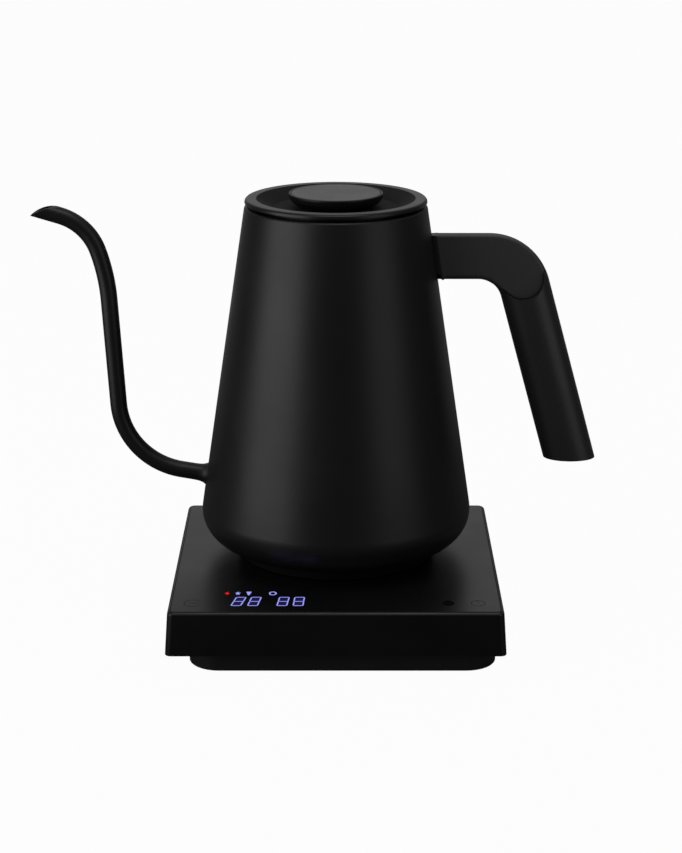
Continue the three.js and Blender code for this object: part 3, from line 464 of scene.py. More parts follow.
def turned(name, outline, material, sides=128, centre=(0, 0), softened=True, sharp=35.0):
    """A piece spun about an upright axis. An outline that starts and ends on the axis closes there."""
    on_axis = outline[0][0] == 0 and outline[-1][0] == 0
    points = soften(outline, closed=not on_axis) if softened else [Vector(p[:2]) for p in outline]
    form = bmesh.new()
    rows = []
    for radius, height in points:
        if radius < 1e-7:
            rows.append([form.verts.new((centre[0], centre[1], height))])
            continue
        row = []
        for i in range(sides):
            angle = 2 * math.pi * i / sides
            place = (centre[0] + radius * math.cos(angle), centre[1] + radius * math.sin(angle), height)
            row.append(form.verts.new(place))
        rows.append(row)
    pairs = list(zip(rows, rows[1:]))
    if not on_axis:
        pairs.append((rows[-1], rows[0]))
    for low, high in pairs:
        for i in range(sides):
            j = (i + 1) % sides
            corners = [low[i % len(low)], low[j % len(low)], high[j % len(high)], high[i % len(high)]]
            unique = list(dict.fromkeys(corners))
            if len(unique) > 2:
                form.faces.new(unique)
    return make_piece(name, form, material, sharp)


dark_rubber = finish(
    "dark rubber", (0.012, 0.012, 0.012), (0.02, 0.02, 0.02), 0.8, grain=0.4 * mm, depth=0.6,
)
for number in range(1, 5):
    node = f"foot_{number}"
    low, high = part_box(node)
    middle = ((low.x + high.x) / 2, (low.y + high.y) / 2)
    foot_radius = (high.x - low.x) / 2
    foot = turned(f"rubber_foot_{number}", [
        (0, low.z), (foot_radius, low.z, 0.5 * mm), (foot_radius, high.z, 0.2 * mm), (0, high.z),
    ], dark_rubber, sides=48, centre=middle)
    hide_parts(node)
    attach(foot, "base")

bare_steel = finish(
    "plated steel", (0.5, 0.5, 0.52), (0.7, 0.7, 0.72), 0.3, metallic=1.0, grain=0.3 * mm, depth=0.2,
)


def refinish(material, *nodes):
    """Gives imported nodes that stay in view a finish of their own."""
    for node in nodes:
        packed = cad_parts[node]
        packed.data.materials.clear()
        packed.data.materials.append(material)
        packed.data.shade_smooth()
        packed.data.set_sharp_from_angle(angle=math.radians(40))


refinish(bare_steel, "tray_screw_1", "tray_screw_2", "tray_screw_3", "tray_screw_4")

# ---- Power board and what is soldered to it ----
# A green glass-fibre board on four posts in the sump carries the relay, the transformer, the
# capacitor, the heat sink, the fuse and the terminals for the supply cord.


resist_dark = (0.006, 0.055, 0.022, 1.0)
resist_light = (0.009, 0.075, 0.03, 1.0)
track_green = (0.02, 0.16, 0.06, 1.0)
tracks_per_metre = 160.0


def circuit_board():
    """Green solder resist with copper tracks showing under it as raised lines."""
    material = bpy.data.materials.new("circuit board")
    material.use_nodes = True
    sheet = NodeSheet(material.node_tree)
    surface = sheet.add("BsdfPrincipled")
    tracks = sheet.add("TexBrick", offset=0.5, squash=0.6)
    sheet.set(tracks.inputs["Vector"], sheet.add("TexCoord").outputs["Object"])
    tracks.inputs["Scale"].default_value = tracks_per_metre
    tracks.inputs["Mortar Size"].default_value = 0.035
    tracks.inputs["Color1"].default_value = gray(0.0)
    tracks.inputs["Color2"].default_value = gray(0.0)
    tracks.inputs["Mortar"].default_value = gray(1.0)
    weave = sheet.add("Group", node_tree=fine_grain)
    weave.inputs["Grain Size"].default_value = 0.8 * mm
    shade = sheet.mix(weave.outputs["Patches"], resist_dark, resist_light)
    sheet.set(surface.inputs["Base Color"], sheet.mix(tracks.outputs["Color"], shade, track_green))
    sheet.set(surface.inputs["Roughness"], sheet.ramp(weave.outputs["Grain"], 0, 1, 0.3, 0.42))
    relief = sheet.add("Bump")
    relief.inputs["Distance"].default_value = 0.05 * mm
    sheet.set(relief.inputs["Height"], tracks.outputs["Color"])
    sheet.set(surface.inputs["Normal"], relief.outputs["Normal"])
    sheet.set(sheet.add("OutputMaterial").inputs["Surface"], surface.outputs[0])
    return material


board_green = circuit_board()
refinish(board_green, "power_board", "control_board")
refinish(finish("relay case", (0.02, 0.1, 0.35), (0.1, 0.2, 0.45), 0.45), "relay")
refinish(finish("winding tape", (0.6, 0.45, 0.06), (0.7, 0.6, 0.2), 0.5, grain=1.2 * mm), "transformer")
refinish(finish("capacitor sleeve", (0.015, 0.018, 0.025), (0.2, 0.2, 0.2), 0.3), "capacitor")
refinish(finish("terminal plastic", (0.03, 0.3, 0.08), (0.1, 0.4, 0.15), 0.5), "terminal_block")
refinish(finish("fuse body", (0.65, 0.6, 0.5), (0.75, 0.72, 0.65), 0.4), "fuse")
aluminium = finish(
    "aluminium", (0.6, 0.61, 0.63), (0.8, 0.8, 0.82), 0.4, metallic=1.0, grain=0.4 * mm, depth=0.4,
)
refinish(aluminium, "heat_sink", "heat_spreader")

# ---- Base housing ----
# A square shell moulded in satin black, open below. A narrow rim stands round the recess for the
# top plate, its outer edge broken by a small bevel that catches the light.
base_half = 80 * mm
base_draft = 1.4 * mm
housing_bottom = cover_under + 0.8 * mm
housing_height = housing_high.z - housing_bottom
rim_width = 1.4 * mm
rim_bevel = 1.35 * mm
recess_edge = 0.15 * mm
skirt_edge = 0.4 * mm
housing_wall = 2.2 * mm
deck_top = housing_high.z - 1.8 * mm
deck_under = deck_top - 2 * mm
boss_hole = 17.3 * mm
corner_radius = 3 * mm


def wall_loop(inset, height):
    """A loop on the housing's leaning side, or inset from it."""
    lean = base_draft * (housing_high.z - height) / housing_height
    half = base_half + lean - inset
    return rounded_loop(half, half, corner_radius - inset, height, (0, base_y))


def recess_loop(inset, height):
    """A loop on the upright wall of the recess for the top plate."""
    half = base_half - rim_width + inset
    return rounded_loop(half, half, corner_radius - rim_width / 2, height, (0, base_y))


def housing_loops():
    """From the deck up the recess, over the rim's bevel, down the outside and up again inside."""
    top = housing_high.z
    bottom = housing_bottom
    loops = [recess_loop(0, deck_top), recess_loop(0, top - recess_edge), recess_loop(recess_edge, top)]
    bevel_start, bevel_end = math.radians(20), math.radians(70)
    for i in range(5):
        angle = bevel_start + (bevel_end - bevel_start) * i / 4
        drop = rim_bevel * (1 - math.cos(angle)) / (1 - math.cos(bevel_end))
        inset = rim_bevel * (1 - math.sin(angle)) / (1 - math.sin(bevel_start))
        loops.append(wall_loop(inset, top - drop * 0.9))
    loops.append(wall_loop(0, top - rim_bevel * 1.15))
    loops += [wall_loop(0, bottom + skirt_edge), wall_loop(0.3 * skirt_edge, bottom + 0.3 * skirt_edge)]
    loops += [wall_loop(skirt_edge, bottom), wall_loop(housing_wall, bottom)]
    loops += [wall_loop(housing_wall, deck_under)]
    like = loops[0]
    loops += [round_loop(boss_hole, deck_under, like), round_loop(boss_hole, deck_top, like)]
    return loops


housing_plastic = finish(
    "housing plastic", (0.0014, 0.0014, 0.0015), (0.05, 0.05, 0.052), 0.34, grain=0.5 * mm, depth=0.35,
)
housing = make_piece("housing", loft(housing_loops(), ring=True), housing_plastic)
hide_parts("base_housing")
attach(housing, "base")

# ---- Control board, display and touch springs ----
# Under the plate a second board carries the display, three springs that press their touch pads
# against the plate's underside, and the buzzer.
black_component = finish("black component", (0.01, 0.01, 0.01), (0.05, 0.05, 0.05), 0.5)
display_black = finish("display face", (0.004, 0.004, 0.006), (0.02, 0.02, 0.02), 0.2)
refinish(black_component, "buzzer")
refinish(display_black, "display_module")
refinish(bare_steel, "touch_spring_1", "touch_spring_2", "touch_spring_3")

# ---- Top plate ----
# One smooth dark plate with a fine satin face, dropped into the rim. It is drilled for the
# connector boss, and the lit digits show through it.
plate_gap = 0.1 * mm
plate_half = base_half - rim_width - plate_gap
plate_low, plate_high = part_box("top_plate")
plate_under = plate_low.z
plate_top = plate_high.z
plate_edge = 0.25 * mm


def plate_loops():
    """Up the plate's outer edge, in over its face and down through the hole for the boss."""
    def outer(inset, height):
        half = plate_half - inset
        return rounded_loop(half, half, corner_radius - rim_width / 2 - inset, height, (0, base_y))

    like = outer(0, plate_under)
    loops = [outer(0, plate_under), outer(0, plate_top - plate_edge)]
    loops += [outer(plate_edge * 0.3, plate_top - plate_edge * 0.3), outer(plate_edge, plate_top)]
    loops += [round_loop(boss_hole + plate_edge, plate_top, like)]
    loops += [round_loop(boss_hole, plate_top - plate_edge, like)]
    loops += [round_loop(boss_hole, plate_under, like)]
    return loops


plate_gloss = finish(
    "plate gloss", (0.006, 0.006, 0.0065), (0.03, 0.03, 0.03), 0.33, spread=0.05, grain=0.4 * mm,
    depth=0.08, patch=45 * mm, reach=0.3 * mm,
)
top_plate = make_piece("plate", loft(plate_loops(), ring=True), plate_gloss)
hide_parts("top_plate")
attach(top_plate, "base")

# ---- Digits and marks on the plate ----
# Two pairs of slanted seven-bar digits and four small signs are lit from below. The three touch
# keys are printed as dark marks at the two front corners.
lamp_unevenness = 0.12


def lit_print(name, color, strength):
    """Light that comes up through the plate, slightly uneven as the lamp behind it is."""
    material = bpy.data.materials.new(name)
    material.use_nodes = True
    sheet = NodeSheet(material.node_tree)
    surface = sheet.add("BsdfPrincipled")
    surface.inputs["Roughness"].default_value = 0.3
    surface.inputs["Emission Strength"].default_value = strength
    texture = sheet.add("Group", node_tree=fine_grain)
    texture.inputs["Grain Size"].default_value = 0.6 * mm
    dimmer = [part * (1 - lamp_unevenness) for part in color]
    lit = sheet.mix(texture.outputs["Grain"], (*color, 1.0), (*dimmer, 1.0))
    sheet.set(surface.inputs["Emission Color"], lit)
    sheet.set(surface.inputs["Base Color"], sheet.mix(texture.outputs["Grain"], gray(0.004), gray(0.006)))
    sheet.set(sheet.add("OutputMaterial").inputs["Surface"], surface.outputs[0])
    return material


print_rise = 0.02 * mm
print_seat = 0.15 * mm


def flat_prism(form, corners, bottom, top):
    """A thin upright prism over a flat polygon, added to a form."""
    low = [form.verts.new((x, y, bottom)) for x, y in corners]
    high = [form.verts.new((x, y, top)) for x, y in corners]
    form.faces.new(low[::-1])
    form.faces.new(high)
    for i in range(len(corners)):
        j = (i + 1) % len(corners)
        form.faces.new((low[i], low[j], high[j], high[i]))


def printed(name, shapes, material, layer=1):
    """One flat mark made of separate polygons, let into the plate's face."""
    form = bmesh.new()
    for corners in shapes:
        flat_prism(form, corners, plate_top - print_seat, plate_top + print_rise * layer)
    mark = make_piece(name, form, material)
    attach(mark, "base")


digit_front = -82.7 * mm
digit_back = -71.1 * mm
digit_width = 5.2 * mm
digit_bar = 0.6 * mm
digit_gap = 0.1 * mm


def leaning(x, y, slant):
    """A point of a digit, moved to the right by its height above the digit's foot."""
    return (x + slant * (y - digit_front), y)


def digit_shapes(left, slant):
    """The seven bars of one digit, each a flat six-sided bar with pointed ends."""
    middle = (digit_front + digit_back) / 2
    half = digit_bar / 2
    right = left + digit_width
    shapes = []
    for y in (digit_front, middle, digit_back):
        y = min(max(y, digit_front + half), digit_back - half)
        start, end = left + half + digit_gap, right - half - digit_gap
        bar = ((start, y), (start + half, y - half), (end - half, y - half), (end, y),
               (end - half, y + half), (start + half, y + half))
        shapes.append([leaning(*corner, slant) for corner in bar])
    for x in (left + half, right - half):
        for low, high in ((digit_front, middle), (middle, digit_back)):
            start = (low + half if low == digit_front else low) + digit_gap
            end = (high - half if high == digit_back else high) - digit_gap
            bar = ((x, start), (x + half, start + half), (x + half, end - half), (x, end),
                   (x - half, end - half), (x - half, start + half))
            shapes.append([leaning(*corner, slant) for corner in bar])
    return shapes


def flat_box(left, right, front, back):
    return [(left, front), (right, front), (right, back), (left, back)]


def oval(x, y, radius_x, radius_y, sides=24):
    turns = [math.radians(360 * i / sides) for i in range(sides)]
    return [(x + radius_x * math.cos(turn), y + radius_y * math.sin(turn)) for turn in turns]


def ring_shapes(x, y, outer_x, outer_y, width, parts=24):
    """A flat ring as short four-sided pieces."""
    shapes = []
    for i in range(parts):
        a, b = (2 * math.pi * k / parts for k in (i, i + 1))
        corners = []
        for turn, inset in ((a, 0), (b, 0), (b, width), (a, width)):
            across = (outer_x - inset) * math.cos(turn)
            along = (outer_y - inset) * math.sin(turn)
            corners.append((x + across, y + along))
        shapes.append(corners)
    return shapes


def star_shape(x, y, half_width, half_depth, waist=0.45, points=5):
    corners = []
    for i in range(2 * points):
        reach = 1.0 if i % 2 == 0 else waist
        turn = math.radians(90 + 180 * i / points)
        corners.append((x + half_width * reach * math.cos(turn), y + half_depth * reach * math.sin(turn)))
    return corners


digit_light = lit_print("digit light", (0.34, 0.36, 1.0), 1.1)
digit_glow = lit_print("digit glow", (0.009, 0.007, 0.055), 1.0)
warm_light = lit_print("heating light", (0.9, 0.008, 0.006), 1.0)
digit_places = ((-50.4 * mm, 0.2), (-42.4 * mm, 0.14), (-28.4 * mm, 0.095), (-20.6 * mm, 0.05))
glow_inset = 0.4 * digit_bar
for number, (digit_left, slant) in enumerate(digit_places, 1):
    printed(f"digit_{number}", digit_shapes(digit_left, slant), digit_light, layer=2)
    left, right = digit_left + glow_inset, digit_left + digit_width - glow_inset
    front, back = digit_front + glow_inset, digit_back - glow_inset
    panel = [leaning(*corner, slant) for corner in flat_box(left, right, front, back)]
    printed(f"digit_glow_{number}", [panel], digit_glow)
sign_y = -66.2 * mm
sign_depth = 2.4 * mm
heating_x = -52.7 * mm
star_x = -47.4 * mm
star_width = 1.45 * mm
funnel_x = -42.1 * mm
ring_x = -30.5 * mm
ring_half_width = 1.9 * mm
ring_line = 0.7 * mm
flame = ((-1.3, -0.3), (-0.2, 1.1), (0.4, 2.3), (0.6, 0.6), (1.3, 0.1), (-0.1, -2.3), (0, -0.5))
funnel = ((-1.3, 2.2), (-0.3, -2.4), (0.3, -2.4), (1.3, 2.2))


def sign(name, outline, x, light):
    """One small sign from its outline in millimetres round its own middle."""
    printed(name, [[(x + across * mm, sign_y + along * mm) for across, along in outline]], light, layer=2)


sign("sign_heating", flame, heating_x, warm_light)
printed("sign_star", [star_shape(star_x, sign_y, star_width, sign_depth)], digit_light, layer=2)
sign("sign_funnel", funnel, funnel_x, digit_light)
ring_sign = ring_shapes(ring_x, sign_y, ring_half_width, sign_depth, ring_line)
printed("sign_ring", ring_sign, digit_light, layer=2)

touch_print = finish("touch print", (0.002, 0.002, 0.002), (0.004, 0.004, 0.004), 0.6, grain=0.5 * mm)
touch_dark = finish(
    "touch key", (0.0015, 0.0015, 0.0015), (0.004, 0.004, 0.004), 0.6, grain=0.5 * mm, ior=1.15,
)
touch_y = -79.2 * mm
touch_line = 0.5 * mm
left_key_x = -68.5 * mm
middle_key_x = 54 * mm
right_key_x = 68.2 * mm
dash_half = 1.9 * mm
stroke_half = 0.3 * mm
stroke_length = 2.4 * mm
left_key = ring_shapes(left_key_x, touch_y, 4.4 * mm, 4.6 * mm, touch_line, parts=20)[2:18]
left_key.append(flat_box(
    left_key_x - dash_half, left_key_x + dash_half, touch_y - stroke_half, touch_y + stroke_half,
))
right_key = ring_shapes(right_key_x, touch_y, 3.6 * mm, 3.8 * mm, touch_line, parts=20)
right_key.append(flat_box(
    right_key_x - stroke_half, right_key_x + stroke_half, touch_y, touch_y + stroke_length,
))
printed("touch_mark_left", left_key, touch_print)
printed("touch_mark_middle", [oval(middle_key_x, touch_y, 2.9 * mm, 3.6 * mm)], touch_dark)
printed("touch_mark_right", right_key, touch_print)

# ---- Cord entry ----
# A rubber gland with a round flange sits in the rear wall over the bore for the supply cord, and
# a clamp inside would hold the cord against the deck.


def turned_along_y(name, outline, material, centre, sides=64):
    """A turned piece laid down, so that heights in its outline run towards the back."""
    piece = turned(name, outline, material, sides=sides)
    lie_down = Matrix.Rotation(math.radians(-90), 4, "X")
    piece.data.transform(Matrix.Translation((centre[0], 0, centre[1])) @ lie_down)
    piece.data.update()
    return piece


gland_low, gland_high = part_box("cord_gland")
gland_centre = ((gland_low.x + gland_high.x) / 2, (gland_low.z + gland_high.z) / 2)
gland_flange = (gland_high.x - gland_low.x) / 2
gland_barrel = 5.5 * mm
gland_bore = 3.2 * mm
gland_thickness = 2 * mm
gland = turned_along_y("gland", [
    (gland_bore, gland_low.y, 0.3 * mm), (gland_flange, gland_low.y, 0.3 * mm),
    (gland_flange, gland_low.y + gland_thickness, 0.3 * mm), (gland_barrel, gland_low.y + gland_thickness),
    (gland_barrel, gland_high.y - gland_thickness), (gland_flange, gland_high.y - gland_thickness),
    (gland_flange, gland_high.y - gland_thickness * 0.5, 0.4 * mm), (gland_barrel, gland_high.y, 0.6 * mm),
    (gland_bore, gland_high.y, 0.5 * mm),
], dark_rubber, gland_centre)
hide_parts("cord_gland")
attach(gland, "base")
refinish(finish("clamp plastic", (0.6, 0.57, 0.5), (0.7, 0.68, 0.62), 0.55), "cord_clamp")

# ---- Base half of the connector ----
# A round black boss stands up through the plate, with a hole for the centre pin and a groove for
# the ring contact, so the kettle may be set down turned any way.
boss_low, boss_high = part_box("base_coupler")
boss_flange = (boss_high.x - boss_low.x) / 2
boss_radius = 17 * mm
pin_hole = 3.4 * mm
groove_inner = 7.9 * mm
groove_outer = 11.1 * mm
groove_under = boss_high.z - 9.5 * mm
flange_top = deck_under - 0.3 * mm
flange_under = flange_top - 3 * mm
boss_piece = turned("boss", [
    (pin_hole, boss_low.z), (boss_radius, boss_low.z, 0.4 * mm), (boss_radius, flange_under),
    (boss_flange, flange_under, 0.3 * mm), (boss_flange, flange_top, 0.3 * mm), (boss_radius, flange_top),
    (boss_radius, boss_high.z, 1.2 * mm), (groove_outer, boss_high.z, 0.3 * mm),
    (groove_outer, groove_under), (groove_inner, groove_under), (groove_inner, boss_high.z, 0.3 * mm),
    (pin_hole, boss_high.z, 0.5 * mm),
], housing_plastic, sides=96)
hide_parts("base_coupler")
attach(boss_piece, "base")
brass = finish(
    "contact brass", (0.6, 0.42, 0.14), (0.75, 0.6, 0.3), 0.25, metallic=1.0, grain=0.3 * mm, depth=0.2,
)
refinish(brass, "pin_contact", "ring_contact", "coupler_pin", "coupler_ring")

# ---- Kettle body ----
# The body is spun from thin steel, a straight cone with a rounded foot, and its rim is turned in
# and down to make the neck. It is sprayed in a fine satin black and baked.
body_low, body_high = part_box("vessel")
body_under, body_rim = body_low.z, body_high.z
foot_plane_radius = 70.6 * mm
rim_radius = 44.9 * mm
body_wall = 1 * mm
foot_round = 16.5 * mm
under_opening = 50 * mm
mouth_radius = 41.3 * mm
neck_depth = 8 * mm
body_slope = (foot_plane_radius - rim_radius) / (body_rim - body_under)
slope_length = math.hypot(1, body_slope)
slope_angle = math.degrees(math.atan(body_slope))
foot_centre = (foot_plane_radius - foot_round * (body_slope + slope_length), body_under + foot_round)


def body_radius_at(height):
    """How far the cone's outside stands from its axis."""
    return foot_plane_radius - body_slope * (height - body_under)


def arc(centre, radius, start, end, steps):
    """Points on an arc, angles in degrees anticlockwise from the right."""
    turns = [math.radians(start + (end - start) * i / steps) for i in range(steps + 1)]
    return [(centre[0] + radius * math.cos(turn), centre[1] + radius * math.sin(turn)) for turn in turns]


def wall_side(low, high, inset, steps):
    """The cone's straight side in even steps."""
    heights = [low + (high - low) * i / steps for i in range(1, steps)]
    return [(body_radius_at(height) - inset * slope_length, height) for height in heights]


foot_top = foot_centre[1] + foot_round * math.sin(math.radians(slope_angle))
neck_bottom = body_rim - neck_depth
rim_under = body_rim - body_wall
body_outline = [(under_opening, body_under)]
body_outline += arc(foot_centre, foot_round, -90, slope_angle, 24)
body_outline += wall_side(foot_top, body_rim, 0, 12)
body_outline += [(rim_radius, body_rim, 1.6 * mm), (mouth_radius, body_rim, 0.8 * mm)]
body_outline += [(mouth_radius, neck_bottom, 0.3 * mm), (mouth_radius + body_wall, neck_bottom, 0.3 * mm)]
body_outline += [(mouth_radius + body_wall, rim_under, 0.3 * mm)]
body_outline += [(body_radius_at(rim_under) - body_wall * slope_length, rim_under)]
body_outline += wall_side(foot_top, body_rim, body_wall, 12)[::-1]
body_outline += arc(foot_centre, foot_round - body_wall, slope_angle, -90, 24)
body_outline += [(under_opening, body_under + body_wall)]
coated_steel = finish(
    "satin black coat", (0.006, 0.006, 0.0063), (0.03, 0.03, 0.031), 0.4, spread=0.06, grain=0.35 * mm,
    depth=0.22, patch=60 * mm, reach=0.4 * mm,
)
body = turned("body", body_outline, coated_steel, sides=256)
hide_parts("vessel")
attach(body, "kettle")

# ---- Chamber floor, heater and sensor ----
# A brushed steel disc closes the water chamber. Under it sit an aluminium spreader with a ring
# heater, a cut-out that trips if it boils dry, and a temperature probe in a silicone seal.
brushed_steel = finish(
    "brushed steel", (0.42, 0.42, 0.43), (0.6, 0.6, 0.61), 0.28, metallic=1.0, grain=0.6 * mm, depth=0.3,
)
refinish(brushed_steel, "vessel_floor", "temperature_sensor", "coupler_bracket")
heater_sheath = finish("heater sheath", (0.3, 0.3, 0.31), (0.45, 0.45, 0.45), 0.4, metallic=1.0)
refinish(heater_sheath, "heating_element")
refinish(finish("cut-out ceramic", (0.75, 0.72, 0.64), (0.8, 0.78, 0.7), 0.5), "dry_boil_cutout")
refinish(finish("pale silicone", (0.6, 0.58, 0.52), (0.65, 0.63, 0.58), 0.6), "sensor_seal")

# ---- Kettle half of the connector and the under cover ----
# A moulded cover closes the kettle's underside. Its outer ring is the foot that the kettle stands
# on, and the round socket in its middle drops over the boss.
cover_low, cover_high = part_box("under_cover")
cover_outer = (cover_high.x - cover_low.x) / 2
cover_ring = 5.7 * mm
cover_wall = 2 * mm
cover_top = 42.2 * mm
web_bottom = 34.5 * mm
web_top = 36.5 * mm
socket_hole = 20.3 * mm
under_plastic = finish(
    "under cover plastic", (0.0012, 0.0012, 0.0012), (0.004, 0.004, 0.004), 0.75, grain=0.6 * mm,
    depth=0.5, ior=1.25,
)
under_cover = turned("under_cover_moulding", [
    (socket_hole, web_bottom, 0.3 * mm), (cover_outer - cover_ring, web_bottom, 0.5 * mm),
    (cover_outer - cover_ring, cover_low.z, 0.6 * mm), (cover_outer, cover_low.z, 0.8 * mm),
    (cover_outer, cover_top, 0.3 * mm), (cover_outer - cover_wall, cover_top, 0.3 * mm),
    (cover_outer - cover_wall, web_top), (socket_hole, web_top, 0.3 * mm),
], under_plastic, sides=160)


def applied(piece):
    """Keeps what the piece's modifiers have done to its mesh."""
    graph = bpy.context.evaluated_depsgraph_get()
    graph.update()
    mesh = bpy.data.meshes.new_from_object(piece.evaluated_get(graph))
    mesh.name = piece.name
    piece.modifiers.clear()
    piece.data = mesh


def carve(piece, cutter):
    """Cuts one piece away from another and drops the cutter."""
    piece.modifiers.clear()
    cut = piece.modifiers.new("cut", "BOOLEAN")
    cut.operation = "DIFFERENCE"
    cut.solver = "EXACT"
    cut.object = cutter
    applied(piece)
    bpy.data.objects.remove(cutter)
    piece.data.shade_smooth()
    piece.data.set_sharp_from_angle(angle=math.radians(35))
    even_shading(piece)


cover_screws = ("under_cover_screw_1", "under_cover_screw_2", "under_cover_screw_3")
seat_gap = 0.3 * mm
seat_reach = 2 * mm
for node in cover_screws:
    low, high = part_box(node)
    middle = ((low.x + high.x) / 2, (low.y + high.y) / 2)
    seat_radius = (high.x - low.x) / 2 + seat_gap
    seat = turned("screw_seat", [
        (0, web_bottom - seat_reach), (seat_radius, web_bottom - seat_reach),
        (seat_radius, web_top + seat_reach), (0, web_top + seat_reach),
    ], under_plastic, sides=32, centre=middle, softened=False)
    carve(under_cover, seat)
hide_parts("under_cover")
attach(under_cover, "kettle")
refinish(bare_steel, *cover_screws)
refinish(under_plastic, "kettle_coupler")

# ---- Spout ----
# A thin steel tube is bent into a swan neck and welded low on the body's side. Its tip is cut on
# a slant, so that the lower edge runs out into a beak that gives a thin stream.
spout_radius = 4.2 * mm
spout_wall = 0.8 * mm
spout_start = Vector((-61 * mm, 0, 71.1 * mm))
spout_climb = 9.6
spout_step = 1.5 * mm
spout_pieces = (
    ("straight", 17.5 * mm), ("bend", 37.4 * mm, spout_climb, 86.6), ("straight", 53.6 * mm),
    ("bend", 95.4 * mm, 86.6, 71.3), ("bend", 27.4 * mm, 71.3, 16.7), ("straight", 20 * mm),
)
lip_centre = Vector((-137.3 * mm, 0, 189.1 * mm))
lip_radius = 20 * mm
weld_flare = 1.5 * mm
weld_reach = 1.6 * mm


def spout_line():
    """Points along the spout's middle with the angle that the tube climbs at, in degrees."""
    place, climb = spout_start.copy(), spout_climb
    line = [(place.copy(), climb)]
    for kind, size, *angles in spout_pieces:
        turn = angles[1] - angles[0] if kind == "bend" else 0.0
        length = abs(math.radians(turn)) * size if kind == "bend" else size
        count = max(2, round(length / spout_step))
        for _ in range(count):
            climb += turn / count / 2
            heading = Vector((-math.cos(math.radians(climb)), 0, math.sin(math.radians(climb))))
            place = place + heading * (length / count)
            climb += turn / count / 2
            line.append((place.copy(), climb))
    return line


def past_lip(point):
    """Whether a point lies outside the circle that the lip is cut to."""
    return math.hypot(point.x - lip_centre.x, point.z - lip_centre.z) > lip_radius


def trim_to_lip(rows):
    """Ends every line along the tube where it meets the lip's curve."""
    for i in range(len(rows[0])):
        last = len(rows) - 1
        while past_lip(rows[last][i]):
            last -= 1
        inside, outside = rows[last][i], rows[last + 1][i]
        for _ in range(14):
            middle = (inside + outside) / 2
            if past_lip(middle):
                outside = middle
            else:
                inside = middle
        for row in rows[last + 1:]:
            row[i] = inside.copy()


def spout_form():
    """The tube's outside from the body to the lip, and its bore back down again."""
    line = spout_line()
    sides = 40
    root = spout_start.x + body_radius_at(spout_start.z)
    loops = []
    for inner in (False, True):
        rows = []
        for place, climb in line:
            along = (place - spout_start).length
            flare = weld_flare * math.exp(-max(0.0, along - root) / weld_reach)
            radius = spout_radius - spout_wall if inner else spout_radius + flare
            across = Vector((math.sin(math.radians(climb)), 0, math.cos(math.radians(climb))))
            row = []
            for i in range(sides):
                turn = 2 * math.pi * i / sides
                sideways = Vector((0, radius * math.sin(turn), 0))
                row.append(place + across * (radius * math.cos(turn)) + sideways)
            rows.append(row)
        trim_to_lip(rows)
        loops += rows[::-1] if inner else rows
    return loft(loops, ring=True)


spout = make_piece("swan_neck", spout_form(), coated_steel)
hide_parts("spout")
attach(spout, "kettle")

# ---- Handle arm and mount ----
# The arm is one moulding with flat cheeks and softened edges. It butts against a thin mount pad
# on the body, pulled up tight by a steel tongue and two screws from below.
arm_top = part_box("handle_arm")[1].z
arm_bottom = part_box("handle_mount")[0].z
arm_half_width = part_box("handle_arm")[1].y
top_rounding = 0.9 * mm
side_rounding = 2.2 * mm
under_rounding = 3 * mm
cheek_rounding = 0.4 * mm
seam_rounding = 0.25 * mm
bend_radius = 31 * mm
inner_radius = 12 * mm
grip_lean = 15.5
grip_breadth = 25.1 * mm
grip_width = 19 * mm
grip_reach = 99.2 * mm
grip_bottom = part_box("handle_grip")[0].z
cheek_radius = 10 * mm
seam_offset = 2.3 * mm
fillet_end_angle = 59
cheek_start_angle = -121
bend_start_angle = 26
cheek_drop = 0.5 * mm
lean_tangent = math.tan(math.radians(grip_lean))
lean_cosine = math.cos(math.radians(grip_lean))
quarter = math.radians((90 - grip_lean) / 2)
bend_centre = (grip_reach - bend_radius * math.tan(quarter), arm_top - bend_radius)
inner_corner = grip_reach + (arm_top - arm_bottom) * lean_tangent - grip_breadth / lean_cosine
inner_centre = (inner_corner - inner_radius * math.tan(quarter), arm_bottom - inner_radius)
cheek_height = arm_bottom + cheek_drop
cheek_x = grip_reach + (arm_top - cheek_height) * lean_tangent - grip_breadth / lean_cosine / 2
cheek_centre = (cheek_x, cheek_height)


def seam_x(height, offset):
    """Where the upright seam stands at a height, at an offset square to the body's side."""
    return body_radius_at(height) + offset * slope_length


def with_rounding(points, rounding):
    return [(x, z, rounding) for x, z in points]


def slab(outline, half_width, steps=6):
    """An upright slab whose edge rounding changes along its outline of (x, z, rounding)."""
    count = len(outline)
    loops = []
    normals = []
    for i in range(count):
        before = Vector(outline[i - 1][:2])
        after = Vector(outline[(i + 1) % count][:2])
        here = Vector(outline[i][:2])
        first = (here - before).normalized()
        second = (after - here).normalized()
        outward = Vector((first.y + second.y, -first.x - second.x)).normalized()
        stretch = 1 / max(0.5, outward.dot(Vector((first.y, -first.x))))
        normals.append(outward * stretch)
    for side in (-1, 1):
        rows = []
        for k in range(steps + 1):
            angle = math.radians(90 * k / steps)
            row = []
            for (x, z, rounding), outward in zip(outline, normals):
                inset = rounding * (1 - math.sin(angle))
                y = side * (half_width - rounding * (1 - math.cos(angle)))
                row.append(Vector((x - outward.x * inset, y, z - outward.y * inset)))
            rows.append(row)
        loops += rows if side < 0 else rows[::-1]
    return loft(loops)


